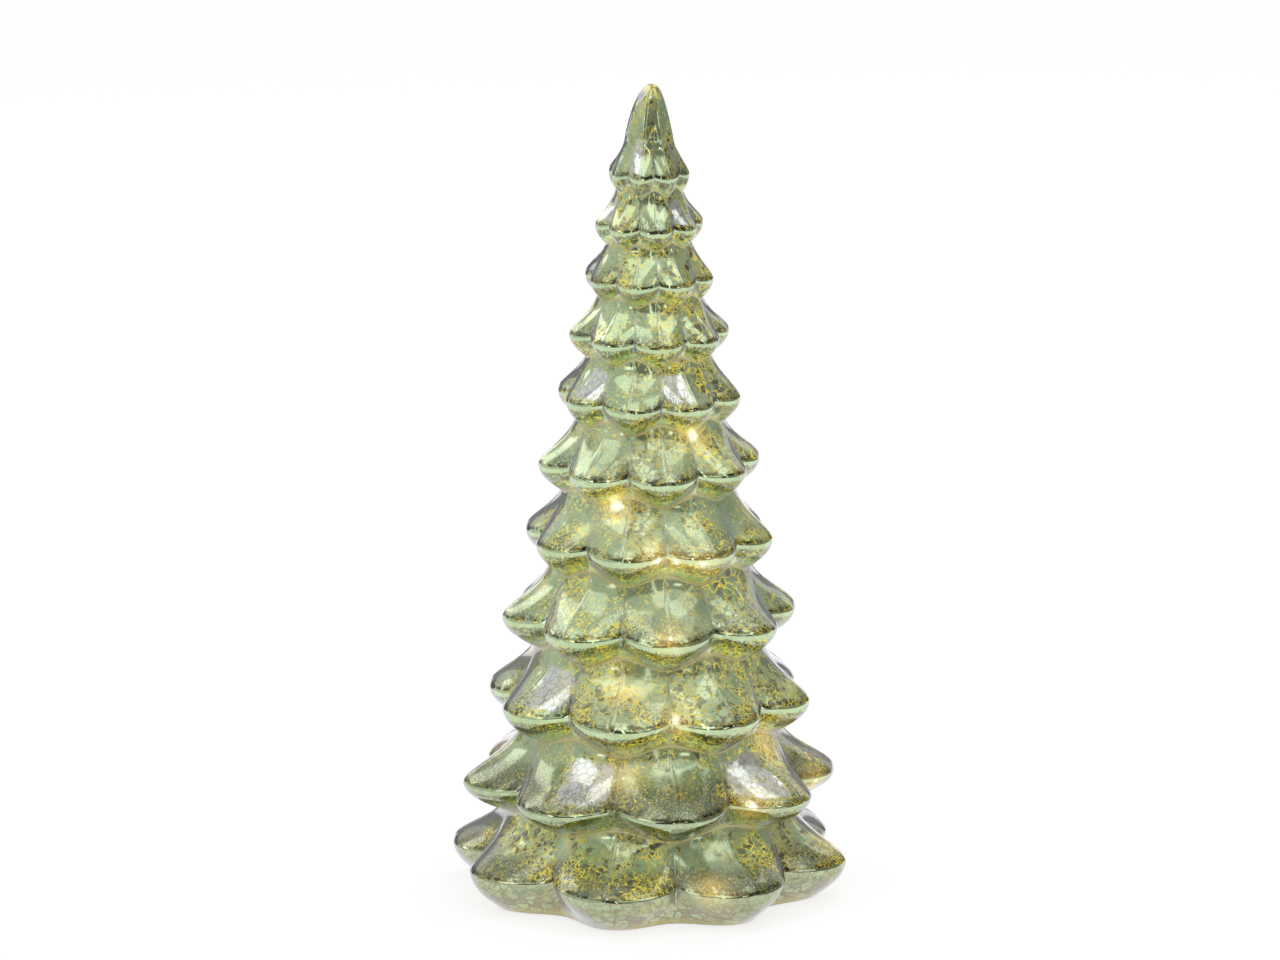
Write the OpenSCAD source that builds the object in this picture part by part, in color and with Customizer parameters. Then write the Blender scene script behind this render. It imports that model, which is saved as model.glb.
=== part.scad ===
// Lighted glass Christmas tree: a blown, silvered shell of scalloped tiers that stands
// over a wound string of small lamps, closed below by a plug-in battery base.
// Millimetres, +Z up. The origin is the middle of the face that the pads stand on.

/* [Glass tree] */
// Height of the whole tree above the table
tree_height = 300; // [280:1:330]
// Number of scalloped tiers
tier_count = 11; // [9:1:12]
// Lobes round each tier
lobe_count = 8; // [7:1:9]
// Reach of the lowest tier's lobes from the axis
foot_rim_r = 73.4; // [71:0.2:80]
// Reach of the topmost tier's lobes from the axis
top_rim_r = 14.8; // [13:0.2:18]
// Height of the lowest rim above the table
foot_rim_z = 13.4; // [12:0.2:16]
// Depth of the topmost rim below the tip
top_rim_drop = 32.7; // [28:0.5:40]
// Step in height between the two lowest rims
foot_pitch = 28.4; // [25:0.2:32]
// Tallest step of the upper rims over their shortest step
pitch_growth = 1.65; // [1.2:0.05:2]
// Reach of every second tier, over a plain cone
turned_reach = 1.025; // [1:0.005:1.05]
// Radius in the grooves and necks, as a share of the rim's
core_share = 0.75; // [0.7:0.01:0.82]
// Height of the bullet-shaped nose
nose_height = 19.2; // [15:0.2:24]
// Radius where the nose meets the top tier
nose_r = 8.95; // [8:0.1:11]
// Sideways lean of the pulled-off tip
tip_lean = 0.9; // [0:0.1:2]
// How far the foot tucks in below its rim
foot_tuck = 10.4; // [7:0.2:12]
// Wall of the blown glass
glass_wall = 2; // [1.4:0.1:2.4]
// Height of the glass edge above the table
glass_lift = 0.6; // [0.3:0.1:0.7]

/* [Base] */
// Wall of the moulded tub
tub_wall = 2; // [1.6:0.1:2.6]
// Wall of the battery bay inside the tub
bay_wall = 1.4; // [1.2:0.1:1.8]
// Thickness of the flange under the glass
flange_t = 1.6; // [1.4:0.1:1.8]
// Width of the flange outside the tub
flange_w = 9; // [8:0.5:10]
// Thickness of the sealing ring
gasket_t = 0.6; // [0.4:0.1:0.8]
// Height of the rubber pads below the flange
pad_h = 0.8; // [0.8:0.1:1.4]
// Radius of a rubber pad
pad_r = 3.2; // [2.6:0.1:3.4]
// Thickness of the inner lid
lid_t = 1.8; // [1.6:0.1:2.4]

/* [Batteries and door] */
// Diameter of a cell
cell_d = 10.5; // [10:0.1:10.9]
// Length of a cell's body, without its nub
cell_body = 43.2; // [42.4:0.1:44]
// Length of the contact springs
spring_len = 4.2; // [3.6:0.1:5]
// Thickness of the battery door
door_t = 1.6; // [1.4:0.1:2]
// Radius of the door's hinge pins
pin_r = 0.9; // [0.7:0.05:1]

/* [Switch and board] */
// Travel of the switch between ON and TIMER
switch_travel = 4; // [3:0.1:4.4]
// Length of the circuit board
board_len = 28; // [26:0.5:30]
// Width of the circuit board
board_w = 9.6; // [9:0.1:10.4]
// Thickness of the circuit board
board_t = 1.6; // [1:0.1:2]

/* [Lamp string] */
// Radius of the post at its foot
post_r = 8; // [7:0.1:9]
// Radius of the post at its top
post_top_r = 3.5; // [3.2:0.1:5]
// Wall of the post
post_wall = 1.4; // [1.2:0.1:1.6]
// Turns of the lamp wire round the post
wire_turns = 11; // [7:1:14]
// Radius of the lamp wire
wire_r = 0.6; // [0.4:0.05:0.8]
// Lamps on the string
lamp_count = 20; // [12:1:26]
// Radius of a lamp's clear drop
lamp_r = 1.5; // [1.3:0.1:2]

/* [Hidden] */
$fn = 64;

// Clearances
fit = 0.3;
run_fit = 0.05;
touch_gap = 0.1;
cut = 1;

// Small helpers
function mix(a, b, t) = a + (b - a) * t;
function ease(t) = t * t * (3 - 2 * t);
function cubic(a, b, c, d, t) =
    pow(1 - t, 3) * a + 3 * pow(1 - t, 2) * t * b + 3 * (1 - t) * t * t * c + pow(t, 3) * d;
function total(list, count) = count <= 0 ? 0 : list[count - 1] + total(list, count - 1);

// Stack of tiers: tier 0 is the topmost, and each neck lies above the tier of its number
last_tier = tier_count - 1;
top_rim_z = tree_height - top_rim_drop;
stack_height = top_rim_z - foot_rim_z - foot_pitch;
steps = [for (k = [0 : tier_count - 3]) mix(1, pitch_growth, ease(k / (tier_count - 3)))];
step_unit = stack_height / total(steps, len(steps));
function rim_z(i) = i == last_tier ? foot_rim_z : top_rim_z - step_unit * total(steps, i);
function cone_r(z) = mix(top_rim_r, foot_rim_r, (top_rim_z - z) / (top_rim_z - foot_rim_z));
function core_r(z) = core_share * cone_r(z);
function rim_r(i) = cone_r(rim_z(i)) * (i % 2 == 1 ? turned_reach : 1);

// Necks: they drape lower under each lobe than under each notch
neck_share_top = 0.285;
neck_share_foot = 0.32;
drape_share = 0.21;
nose_z = tree_height - nose_height;
foot_r = foot_rim_r - foot_tuck;
foot_groove_share = 0.85;
nose_flute = 0.1;
function neck_share(i) = mix(neck_share_top, neck_share_foot, i / (tier_count - 2));
function neck_z(i) =
    i == 0 ? nose_z :
    i == tier_count ? glass_lift :
    mix(rim_z(i - 1), rim_z(i), neck_share(i - 1));
function drape(i) = i == 0 || i == tier_count ? 0 : drape_share * (neck_z(i) - rim_z(i));
function neck_r(i, z, groove) =
    i == 0 ? nose_r * (groove ? 1 - nose_flute : 1) :
    i == tier_count ? foot_r * (groove ? foot_groove_share : 1) :
    core_r(z);

// Shape of one lobe: how its midrib falls and flares, and how it narrows to the grooves
rib_fall = 0.59;
rib_flare = 0.22;
rib_start = 0.1;
rib_end = 0.02;
hang_drop = 0.39;
hang_rise = 0.25;
hang_tuck = 0.41;
notch_lift = 0.06;
notch_share_top = 0.9;
notch_share_foot = 0.82;
panel_power = 1.03;
roll_power = 5;
rim_power = 1.9;
seam_end = 0.3;
function notch_r(i) = mix(notch_share_top, notch_share_foot, i / last_tier) * cone_r(rim_z(i));

// Share of the midrib at a neck: the same for the tier above and the half-turned one below
function seam(u) = pow(cos(90 * u), 2);

// Radius and height on tier i, at share t from neck to rim, and at u from midrib to groove
function panel(i, t, u) =
    let (
        top_z = neck_z(i) + drape(i) / 2,
        low_z = neck_z(i) - drape(i) / 2,
        top_r = neck_r(i, top_z, false),
        height = top_z - rim_z(i),
        width = rim_r(i) - top_r,
        rib = [
            cubic(top_r, top_r + rib_start * width, rim_r(i) - rib_end * width, rim_r(i), t),
            cubic(top_z, top_z - rib_fall * height, rim_z(i) + rib_flare * height, rim_z(i), t)
        ],
        groove = [
            mix(neck_r(i, low_z, true), notch_r(i), t),
            mix(low_z, rim_z(i) + notch_lift * height, t)
        ],
        lobe = 1 - pow(u, mix(panel_power, rim_power, pow(t, roll_power)))
    )
    mix(groove, rib, mix(seam(u), lobe, ease(min(1, t / seam_end))));

// The same below the rim, at share t from rim to the neck below
function underside(i, t, u) =
    let (
        low_z = neck_z(i + 1) - drape(i + 1) / 2,
        high_z = neck_z(i + 1) + drape(i + 1) / 2,
        low_r = neck_r(i + 1, low_z, false),
        height = rim_z(i) - low_z,
        width = rim_r(i) - low_r,
        notch_z = rim_z(i) + notch_lift * (neck_z(i) + drape(i) / 2 - rim_z(i)),
        rib = [
            cubic(rim_r(i), rim_r(i), low_r + hang_tuck * width, low_r, t),
            cubic(rim_z(i), rim_z(i) - hang_drop * height, low_z + hang_rise * height, low_z, t)
        ],
        groove = [
            mix(notch_r(i), neck_r(i + 1, high_z, true), t),
            mix(notch_z, high_z, t)
        ]
    )
    mix(groove, rib, mix(1 - pow(u, rim_power), seam(u), ease(t)));

function skin(i, t, u) = t <= 1 ? panel(i, t, u) : underside(i, t - 1, u);

// Rings of points: every second tier is turned by half a lobe, with one lobe facing -Y
lobe_sides = 6;
ring_sides = lobe_count * lobe_sides;
function ring_angle(k) = k * 360 / ring_sides - 90;
function off_rib(i, k) =
    let (turn = k / lobe_sides + (i % 2) / 2)
    2 * abs(turn - round(turn));
function at(r, z, k) = [r * cos(ring_angle(k)), r * sin(ring_angle(k)), z];
function plain_ring(r, z) = [for (k = [0 : ring_sides - 1]) at(r, z, k)];
function skin_point(i, t, k, narrowing = 1) =
    let (p = skin(i, t, min(1, narrowing * off_rib(i, k))))
    at(p[0], p[1], k);
function lobed_ring(i, t) = [for (k = [0 : ring_sides - 1]) skin_point(i, t, k)];

// The inside follows the outside, one wall's thickness in along the surface's normal,
// with narrower lobes because the glass gathers in the grooves
inner_narrowing = 1.6;
slope_step = 0.04;
side_step = 0.5;
function inner_point(i, t, k) =
    let (
        down = skin_point(i, min(t + slope_step, 2), k) - skin_point(i, max(t - slope_step, 0), k),
        around = skin_point(i, t, k + side_step) - skin_point(i, t, k - side_step),
        normal = cross(down, around)
    )
    skin_point(i, t, k, mix(1, inner_narrowing, t)) - glass_wall * normal / norm(normal);
function inner_ring(i, t) = [for (k = [0 : ring_sides - 1]) inner_point(i, t, k)];

// Nose: a fluted bullet that leans a little towards its pulled-off tip
nose_rings = 6;
nose_fullness = 0.45;
lean_angle = 13;
function lean(share) = tip_lean * share * share * [cos(lean_angle), sin(lean_angle), 0];
function nose_ring(share, inset) =
    let (
        r = (nose_r - inset) * pow(1 - share, nose_fullness),
        z = nose_z + (nose_height - 2 * inset) * share,
        depth = nose_flute * (1 - share)
    )
    [for (k = [0 : ring_sides - 1]) at(r * (1 - depth * (1 - seam(off_rib(0, k)))), z, k) + lean(share)];

outer_steps = [0, 0.3, 0.55, 0.78, 1, 1.35, 1.7];
inner_steps = [0, 0.3, 1];
function nose_share(k) = cos(90 * k / nose_rings);

// Battery bay: the cells lie along X, with a contact at each end
nub_r = 1.9;
nub_len = 1.1;
cell_gap = 0.5;
plate_t = 0.4;
cell_len = cell_body + nub_len;
cell_pitch = cell_d + cell_gap;
cell_count = 3;
bay_half_l = (2 * plate_t + cell_len + spring_len + 3 * touch_gap) / 2;
bay_half_w = (cell_count * cell_d + (cell_count + 1) * cell_gap) / 2;
under_z = pad_h;
door_top = under_z + door_t;
floor_top = door_top + fit;
cell_z = floor_top + cell_gap + cell_d / 2;
bay_top = cell_z + cell_d / 2 + cell_gap;
roof_top = bay_top + bay_wall;
lead_r = 0.5;
lead_room = 2.4;
tub_top = roof_top + lead_room;

// Hinge at +X and closing screw at -X
barrel_wall = 0.5;
barrel_r = pin_r + barrel_wall;
barrel_half = 12;
pin_len = 1.4;
hinge_x = bay_half_l + bay_wall + barrel_r + fit;
hinge_z = under_z + barrel_r;
lug_wall = 1;
lug_w = pin_len + lug_wall;
lug_top = hinge_z + barrel_r + fit;
hinge_end = hinge_x + barrel_r + fit;
door_half_w = bay_half_w + fit;
door_end = bay_half_l + fit;
swing_gap = 0.4;
tab_half_w = 5;
tab_len = 7.5;
door_screw_r = 1.3;
door_head_r = 2.4;
door_head_h = 1;
screw_set_out = 0.4;
door_screw_x = -door_end - tab_len / 2 - screw_set_out;
boss_height = 7;
boss_margin = 1;
boss_skin = 1.5;
pin_bore_skin = 0.6;
tab_end = door_end + tab_len + fit;

// Board and switch beside the bay, on the -Y side
board_gap = 1.9;
board_y = -(bay_half_w + bay_wall + board_gap + board_w / 2);
can_h = 3.6;
can_spare_l = 6;
can_l = switch_travel + can_spare_l;
can_w = 4.4;
can_wall = 0.7;
can_z = floor_top;
board_z = can_z + can_h;
board_top = board_z + board_t;
board_boss_r = 2.2;
board_screw_x = board_len / 2 - board_boss_r;
small_screw_r = 0.9;
small_head_r = 1.7;
small_head_h = 1.1;
thread_grip = 5;
stem_l = 2.4;
stem_w = 1.8;
carriage_lip = 0.5;
carriage_l = stem_l + 2 * carriage_lip;
carriage_w = stem_w + 2 * carriage_lip;
carriage_h = 1.4;
knob_recess = 0.2;
knob_tip_z = under_z + knob_recess;

// Tub, flange and the glass seat follow what the tub holds
board_corner = norm([board_len / 2, -board_y + board_w / 2]);
tub_inner_r = max(board_corner, tab_end, hinge_end, norm([hinge_end, barrel_half])) + fit;
tub_r = tub_inner_r + tub_wall;
opening_play = 1;
opening_r = tub_r + opening_play;
flange_r = tub_r + flange_w;
gasket_z = under_z + flange_t;
seat_z = gasket_z + gasket_t;
flange_play = 1.2;
seat_r = flange_r + flange_play;
pad_sink = 0.5;
pad_ring_r = (opening_r + flange_r) / 2;
pad_count = 4;

// Lid screws stand clear of the bay and the board
lid_boss_r = 2.8;
rear_boss_gap = 5;
side_boss_gap = 2.4;
side_boss_x = board_len / 2 + lid_boss_r + side_boss_gap;
lid_screw_spots = [
    [0, bay_half_w + bay_wall + lid_boss_r + rear_boss_gap],
    [-side_boss_x, board_y],
    [side_boss_x, board_y]
];
lid_z = tub_top;
lid_top = lid_z + lid_t;
socket_h = 9;
socket_wall = 2;
socket_ribs = 4;

// Post and the wire wound on it
post_z = lid_top;
collar_z = post_z + socket_h;
post_top = rim_z(2);
cap_h = 4;
cap_lip = 1;
cap_spigot = 5;
wind_margin = 7;
wind_start = collar_z + wind_margin;
wind_end = post_top - wind_margin;
loop_rings = 24;
tube_sides = 6;
wire_rings = wire_turns * loop_rings;
lead_in_x = 0;
lead_in_y = board_y;
feed_play = 0.9;
feed_hole_r = wire_r + feed_play;
function post_radius(z) = mix(post_r, post_top_r, (z - collar_z) / (post_top - collar_z));
function wind_angle(share) = 360 * wire_turns * share - 90;
function wind_z(share) = mix(wind_start, wind_end, share);
function wind_point(share, out) =
    let (r = post_radius(wind_z(share)) + out)
    [r * cos(wind_angle(share)), r * sin(wind_angle(share)), wind_z(share)];
wire_out = fit + wire_r;
wind_points = [for (k = [0 : wire_rings]) wind_point(k / wire_rings, wire_out)];
wind_foot = wind_points[0];
feed_points = [
    [lead_in_x, lead_in_y, board_top + touch_gap],
    [lead_in_x, lead_in_y, board_top + 2],
    [lead_in_x, lead_in_y, lid_z],
    [lead_in_x, lead_in_y, lid_top + 2],
    [-2.2, mix(lead_in_y, wind_foot[1], 0.35), mix(lid_top, wind_start, 0.35)],
    [-4.4, mix(lead_in_y, wind_foot[1], 0.7), mix(lid_top, wind_start, 0.68)],
    [-3, wind_foot[1] - 1.2, mix(lid_top, wind_start, 0.93)]
];
wire_path = concat(feed_points, wind_points);
turn_gap = min([
    for (k = [0 : wire_rings - loop_rings / 2])
    for (j = [k + loop_rings / 2 : wire_rings])
    norm(wind_points[j] - wind_points[k])
]) - 2 * wire_r;
echo(lamp_wire_least_gap = turn_gap);

// Contact springs: conical coils standing on the plates
spring_wire_r = 0.3;
spring_base_r = 3.6;
spring_tip_r = 1.9;
spring_curls = 3;
curl_rings = 8;
spring_rings = spring_curls * curl_rings;
spring_stub = 2 * spring_wire_r;
function spring_coil(share) =
    let (
        r = mix(spring_base_r, spring_tip_r, share),
        x = mix(spring_wire_r, spring_len - spring_wire_r, share),
        a = 360 * spring_curls * share
    )
    [x, r * cos(a), r * sin(a)];
spring_turns = [for (k = [0 : spring_rings]) spring_coil(k / spring_rings)];
spring_path = concat(
    [spring_turns[0] - [0, 0, spring_stub]],
    spring_turns,
    [spring_turns[spring_rings] + [0, 0, spring_stub]]
);
curl_gap = min([
    for (k = [0 : spring_rings - curl_rings / 2])
    for (j = [k + curl_rings / 2 : spring_rings])
    norm(spring_turns[j] - spring_turns[k])
]) - 2 * spring_wire_r;
echo(contact_spring_least_gap = curl_gap);

// Leads from the end contacts over the bay's roof to the board
tab_rise = 1.4;
tab_top = roof_top + tab_rise;
tab_w = 3;
solder_x = bay_half_l - plate_t / 2;
lead_z = roof_top + lead_r + fit;
pad_from_end = 6.4;
pad_from_edge = 1.4;
lead_pad_x = board_len / 2 - pad_from_end;
lead_pad_y = board_y + board_w / 2 - pad_from_edge;
bay_edge_y = -(bay_half_w + bay_wall);
positive_points = [
    [solder_x - plate_t / 2 - lead_r - touch_gap, -cell_pitch, lead_z],
    [solder_x - 3.4, -cell_pitch - 1.4, lead_z],
    [mix(solder_x, lead_pad_x, 0.6), bay_edge_y + 1.5, lead_z],
    [lead_pad_x + 1.5, bay_edge_y - 0.4, lead_z - 0.3],
    [lead_pad_x, lead_pad_y, lead_z - 2.6],
    [lead_pad_x, lead_pad_y, board_top + 2],
    [lead_pad_x, lead_pad_y, board_top + touch_gap]
];
negative_points = [
    [-solder_x + plate_t / 2 + lead_r + touch_gap, cell_pitch, lead_z],
    [-solder_x + 3.2, cell_pitch - 2.4, lead_z],
    [-solder_x + 5.2, 0, lead_z],
    [-mix(solder_x, lead_pad_x, 0.5), bay_edge_y + 3, lead_z],
    [-lead_pad_x - 2, bay_edge_y - 0.2, lead_z - 0.3],
    [-lead_pad_x, lead_pad_y, lead_z - 2.6],
    [-lead_pad_x, lead_pad_y, board_top + 2],
    [-lead_pad_x, lead_pad_y, board_top + touch_gap]
];

// A round tube along a path, with a ring of points across each joint of it
function unit(v) = v / norm(v);
function path_way(path, k) = unit(path[min(k + 1, len(path) - 1)] - path[max(k - 1, 0)]);
function across(way, last) = unit(last - (last * way) * way);
function frames(path, k, last) =
    k == len(path) ? [] :
    let (side = across(path_way(path, k), last))
    concat([side], frames(path, k + 1, side));
function tube_points(path, r, start_side) =
    let (sides = frames(path, 0, start_side))
    [
        for (k = [0 : len(path) - 1])
        let (side = sides[k], lift = cross(path_way(path, k), side))
        for (s = [0 : tube_sides - 1])
        let (a = 360 * s / tube_sides)
        path[k] + r * (cos(a) * side + sin(a) * lift)
    ];

// Faces of stacked rings: pairs of triangles between rings
function ring_faces(rings, sides) = [
    for (k = [0 : rings - 2])
    for (s = [0 : sides - 1])
    let (
        a = k * sides + s,
        b = k * sides + (s + 1) % sides,
        c = a + sides,
        d = b + sides
    )
    each [[a, c, b], [b, c, d]]
];

module tube(path, r, start_side) {
    rings = len(path);
    last = (rings - 1) * tube_sides;
    ends = [
        for (s = [1 : tube_sides - 2]) [0, s, s + 1],
        for (s = [1 : tube_sides - 2]) [last, last + s + 1, last + s]
    ];
    polyhedron(
        points = tube_points(path, r, start_side),
        faces = [for (f = concat(ring_faces(rings, tube_sides), ends)) [f[0], f[2], f[1]]],
        convexity = 10
    );
}

// A pan-head screw standing on its shank's end, head upwards, with a cross recess
head_taper = 0.8;
recess_w_share = 0.32;
recess_l_share = 1.2;
recess_d_share = 0.55;

module screw(head_r, head_h, shank_r, shank_len) {
    recess_w = head_r * recess_w_share;
    recess_l = head_r * recess_l_share;
    recess_d = head_h * recess_d_share;
    difference() {
        union() {
            cylinder(r = shank_r, h = shank_len);
            translate([0, 0, shank_len]) cylinder(r1 = head_r, r2 = head_r * head_taper, h = head_h);
        }
        for (turn = [0, 90])
            rotate(turn)
            translate([-recess_l / 2, -recess_w / 2, shank_len + head_h - recess_d])
            cube([recess_l, recess_w, recess_d + cut]);
    }
}

module block(half_x, half_y, z0, z1) {
    translate([-half_x, -half_y, z0]) cube([2 * half_x, 2 * half_y, z1 - z0]);
}

// The blown shell: outside from the tip down, in at the foot, and up again inside
module glass_tree() {
    outer_nose = [for (k = [1 : nose_rings - 1]) nose_ring(nose_share(k), 0)];
    outer_tiers = [for (i = [0 : last_tier]) for (t = outer_steps) lobed_ring(i, t)];
    foot = [
        lobed_ring(last_tier, 2), plain_ring(seat_r, seat_z), plain_ring(opening_r, seat_z),
        plain_ring(opening_r, seat_z + glass_wall), plain_ring(seat_r, seat_z + glass_wall)
    ];
    inner_tiers = [
        for (i = [last_tier : -1 : 0])
        for (k = [len(inner_steps) - 1 : -1 : 0])
        inner_ring(i, inner_steps[k])
    ];
    inner_nose = [for (k = [nose_rings - 2 : -2 : 2]) nose_ring(nose_share(k), glass_wall)];
    rings = concat(outer_nose, outer_tiers, foot, inner_tiers, inner_nose);
    ring_total = len(rings);
    tip = [0, 0, tree_height] + lean(1);
    inner_tip = [0, 0, tree_height - 2 * glass_wall] + lean(1);
    points = concat([for (ring = rings) each ring], [tip, inner_tip]);
    tip_index = ring_total * ring_sides;
    last_ring = (ring_total - 1) * ring_sides;
    caps = [
        for (s = [0 : ring_sides - 1])
        let (n = (s + 1) % ring_sides)
        each [[tip_index, s, n], [tip_index + 1, last_ring + n, last_ring + s]]
    ];
    color([0.68, 0.74, 0.58])
    polyhedron(
        points = points,
        faces = [for (f = concat(ring_faces(ring_total, ring_sides), caps)) [f[0], f[2], f[1]]],
        convexity = 20
    );
}

module base_gasket() {
    margin = 0.5;
    color([0.9, 0.9, 0.86])
    translate([0, 0, gasket_z])
    difference() {
        cylinder(r = flange_r - margin, h = gasket_t);
        translate([0, 0, -cut]) cylinder(r = opening_r + margin, h = gasket_t + 2 * cut);
    }
}

module place_pads() {
    for (k = [0 : pad_count - 1])
        rotate((k + 0.5) * 360 / pad_count)
        translate([pad_ring_r, 0, 0])
        children();
}

// Opening for the door, its hinge barrel and its screw tab
module door_opening() {
    low = under_z - cut;
    translate([swing_gap / 2, 0, 0])
        block(door_end + fit + swing_gap / 2, door_half_w + fit, low, floor_top);
    translate([hinge_end / 2, 0, 0]) block(hinge_end / 2, barrel_half + fit, low, lug_top);
    translate([-tab_end / 2, 0, 0]) block(tab_end / 2, tab_half_w + fit, low, floor_top);
}

module base_housing() {
    bay_l = bay_half_l + bay_wall;
    bay_w = bay_half_w + bay_wall;
    slot_half = (stem_l + switch_travel) / 2 + fit;
    boss_half_w = tab_half_w + boss_margin;
    boss_top = floor_top + boss_height;
    lug_half_l = barrel_r + bay_wall + fit;
    lug_end = barrel_half + fit + lug_w;
    pin_bore_end = lug_end - pin_bore_skin;
    color([0.2, 0.21, 0.2])
    difference() {
        union() {
            translate([0, 0, under_z]) cylinder(r = flange_r, h = flange_t);
            difference() {
                translate([0, 0, under_z]) cylinder(r = tub_r, h = tub_top - under_z);
                translate([0, 0, floor_top]) cylinder(r = tub_inner_r, h = tub_top);
            }
            block(bay_l, bay_w, under_z, roof_top);
            intersection() {
                translate([0, 0, under_z]) cylinder(r = tub_inner_r + tub_wall / 2, h = tub_top);
                union() {
                    translate([-tub_inner_r, 0, 0])
                        block(tub_inner_r - bay_half_l, boss_half_w, under_z, boss_top);
                    translate([hinge_x, 0, 0])
                        block(lug_half_l, lug_end, under_z, lug_top + bay_wall);
                }
            }
            for (side = [-1, 1])
                translate([side * board_screw_x, board_y, under_z])
                cylinder(r = board_boss_r, h = board_z - under_z);
            for (spot = lid_screw_spots)
                translate([spot[0], spot[1], under_z]) cylinder(r = lid_boss_r, h = tub_top - under_z);
        }
        block(bay_half_l, bay_half_w, floor_top - cut, bay_top);
        door_opening();
        translate([hinge_x, pin_bore_end, hinge_z])
            rotate([90, 0, 0])
            cylinder(r = pin_r + run_fit, h = 2 * pin_bore_end);
        translate([door_screw_x, 0, under_z])
            cylinder(r = door_screw_r + fit + run_fit, h = boss_top - boss_skin - under_z);
        translate([0, board_y, 0])
            block(slot_half, stem_w / 2 + fit, under_z - cut, floor_top + cut);
        for (side = [-1, 1])
            translate([side * board_screw_x, board_y, board_z - thread_grip])
            cylinder(r = small_screw_r + run_fit, h = thread_grip + cut);
        for (spot = lid_screw_spots)
            translate([spot[0], spot[1], tub_top - thread_grip - fit])
            cylinder(r = small_screw_r + run_fit, h = thread_grip + fit + cut);
        terminal_slots();
        place_pads()
            translate([0, 0, under_z - cut])
            cylinder(r = pad_r + run_fit, h = pad_sink + cut);
    }
}

// Slots in the bay's roof for the soldering tabs of the end contacts
module terminal_slots() {
    slot_half = tab_w / 2 + fit;
    for (side = [-1, 1])
        translate([side * (bay_half_l - plate_t - fit / 2), -side * cell_pitch, 0])
        block(plate_t + fit / 2, slot_half, bay_top - cut, roof_top + cut);
}

// Inner lid: closes the tub and carries the post in a ribbed socket
module base_lid() {
    bore = post_r + run_fit;
    outer = bore + socket_wall;
    rib_t = 1.6;
    rib_spread = 6;
    rib_top = socket_h - 1;
    color([0.22, 0.23, 0.22])
    difference() {
        union() {
            translate([0, 0, lid_z]) cylinder(r = tub_r, h = lid_t);
            translate([0, 0, lid_top]) cylinder(r = outer, h = socket_h);
            for (k = [0 : socket_ribs - 1])
                rotate((k + 0.5) * 360 / socket_ribs)
                translate([0, rib_t / 2, lid_top])
                rotate([90, 0, 0])
                linear_extrude(rib_t)
                polygon([
                    [bore + run_fit, 0], [outer + rib_spread, 0],
                    [outer, rib_top], [bore + run_fit, rib_top]
                ]);
        }
        translate([0, 0, lid_top]) cylinder(r = bore, h = socket_h + cut);
        translate([lead_in_x, lead_in_y, lid_z - cut]) cylinder(r = feed_hole_r, h = lid_t + 2 * cut);
        for (spot = lid_screw_spots)
            translate([spot[0], spot[1], lid_z - cut])
            cylinder(r = small_screw_r + fit, h = lid_t + 2 * cut);
    }
}

module lid_screws() {
    color([0.72, 0.72, 0.7])
    for (spot = lid_screw_spots)
        translate([spot[0], spot[1], lid_z - thread_grip])
        screw(small_head_r, small_head_h, small_screw_r, thread_grip + lid_t);
}

// Clear post: a straight spigot in the socket, then a slim hollow taper
module light_post() {
    color([0.86, 0.9, 0.9, 0.5])
    difference() {
        union() {
            translate([0, 0, post_z]) cylinder(r = post_r, h = socket_h);
            translate([0, 0, collar_z]) cylinder(r1 = post_r, r2 = post_top_r, h = post_top - collar_z);
        }
        translate([0, 0, post_z - cut]) cylinder(r = post_r - post_wall, h = socket_h + cut);
        translate([0, 0, collar_z])
            cylinder(r1 = post_r - post_wall, r2 = post_top_r - post_wall, h = post_top - collar_z);
        translate([0, 0, post_top - cut]) cylinder(r = post_top_r - post_wall, h = 2 * cut);
    }
}

// Cap on the post's end: a round head over a spigot, turned from one outline
module post_cap() {
    head_r = post_top_r + cap_lip;
    spigot_r = post_top_r - post_wall - run_fit;
    dome = cap_h - cap_lip;
    dome_r = (head_r * head_r + dome * dome) / (2 * dome);
    color([0.86, 0.9, 0.9])
    translate([0, 0, post_top])
    rotate_extrude()
    union() {
        translate([0, -cap_spigot]) square([spigot_r, cap_spigot + cap_h / 2]);
        square([head_r, cap_h - dome]);
        intersection() {
            translate([0, cap_h - dome]) square([head_r, dome]);
            translate([0, cap_h - dome_r]) circle(r = dome_r);
        }
    }
}

module led_wire() {
    color([0.78, 0.5, 0.3]) tube(wire_path, wire_r, [1, 0, 0]);
}

module led_lamps() {
    color([1, 0.93, 0.7])
    for (k = [0 : lamp_count - 1])
        translate(wind_point((k + 0.5) / lamp_count, fit + lamp_r))
        sphere(r = lamp_r);
}

module circuit_board() {
    color([0.12, 0.4, 0.2])
    difference() {
        translate([0, board_y, 0]) block(board_len / 2, board_w / 2, board_z, board_top);
        for (side = [-1, 1])
            translate([side * board_screw_x, board_y, board_z - cut])
            cylinder(r = small_screw_r + fit, h = board_t + 2 * cut);
    }
}

module board_screws() {
    grip = thread_grip - fit;
    color([0.72, 0.72, 0.7])
    for (side = [-1, 1])
        translate([side * board_screw_x, board_y, board_z - grip])
        screw(small_head_r, small_head_h, small_screw_r, grip + board_t);
}

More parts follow.
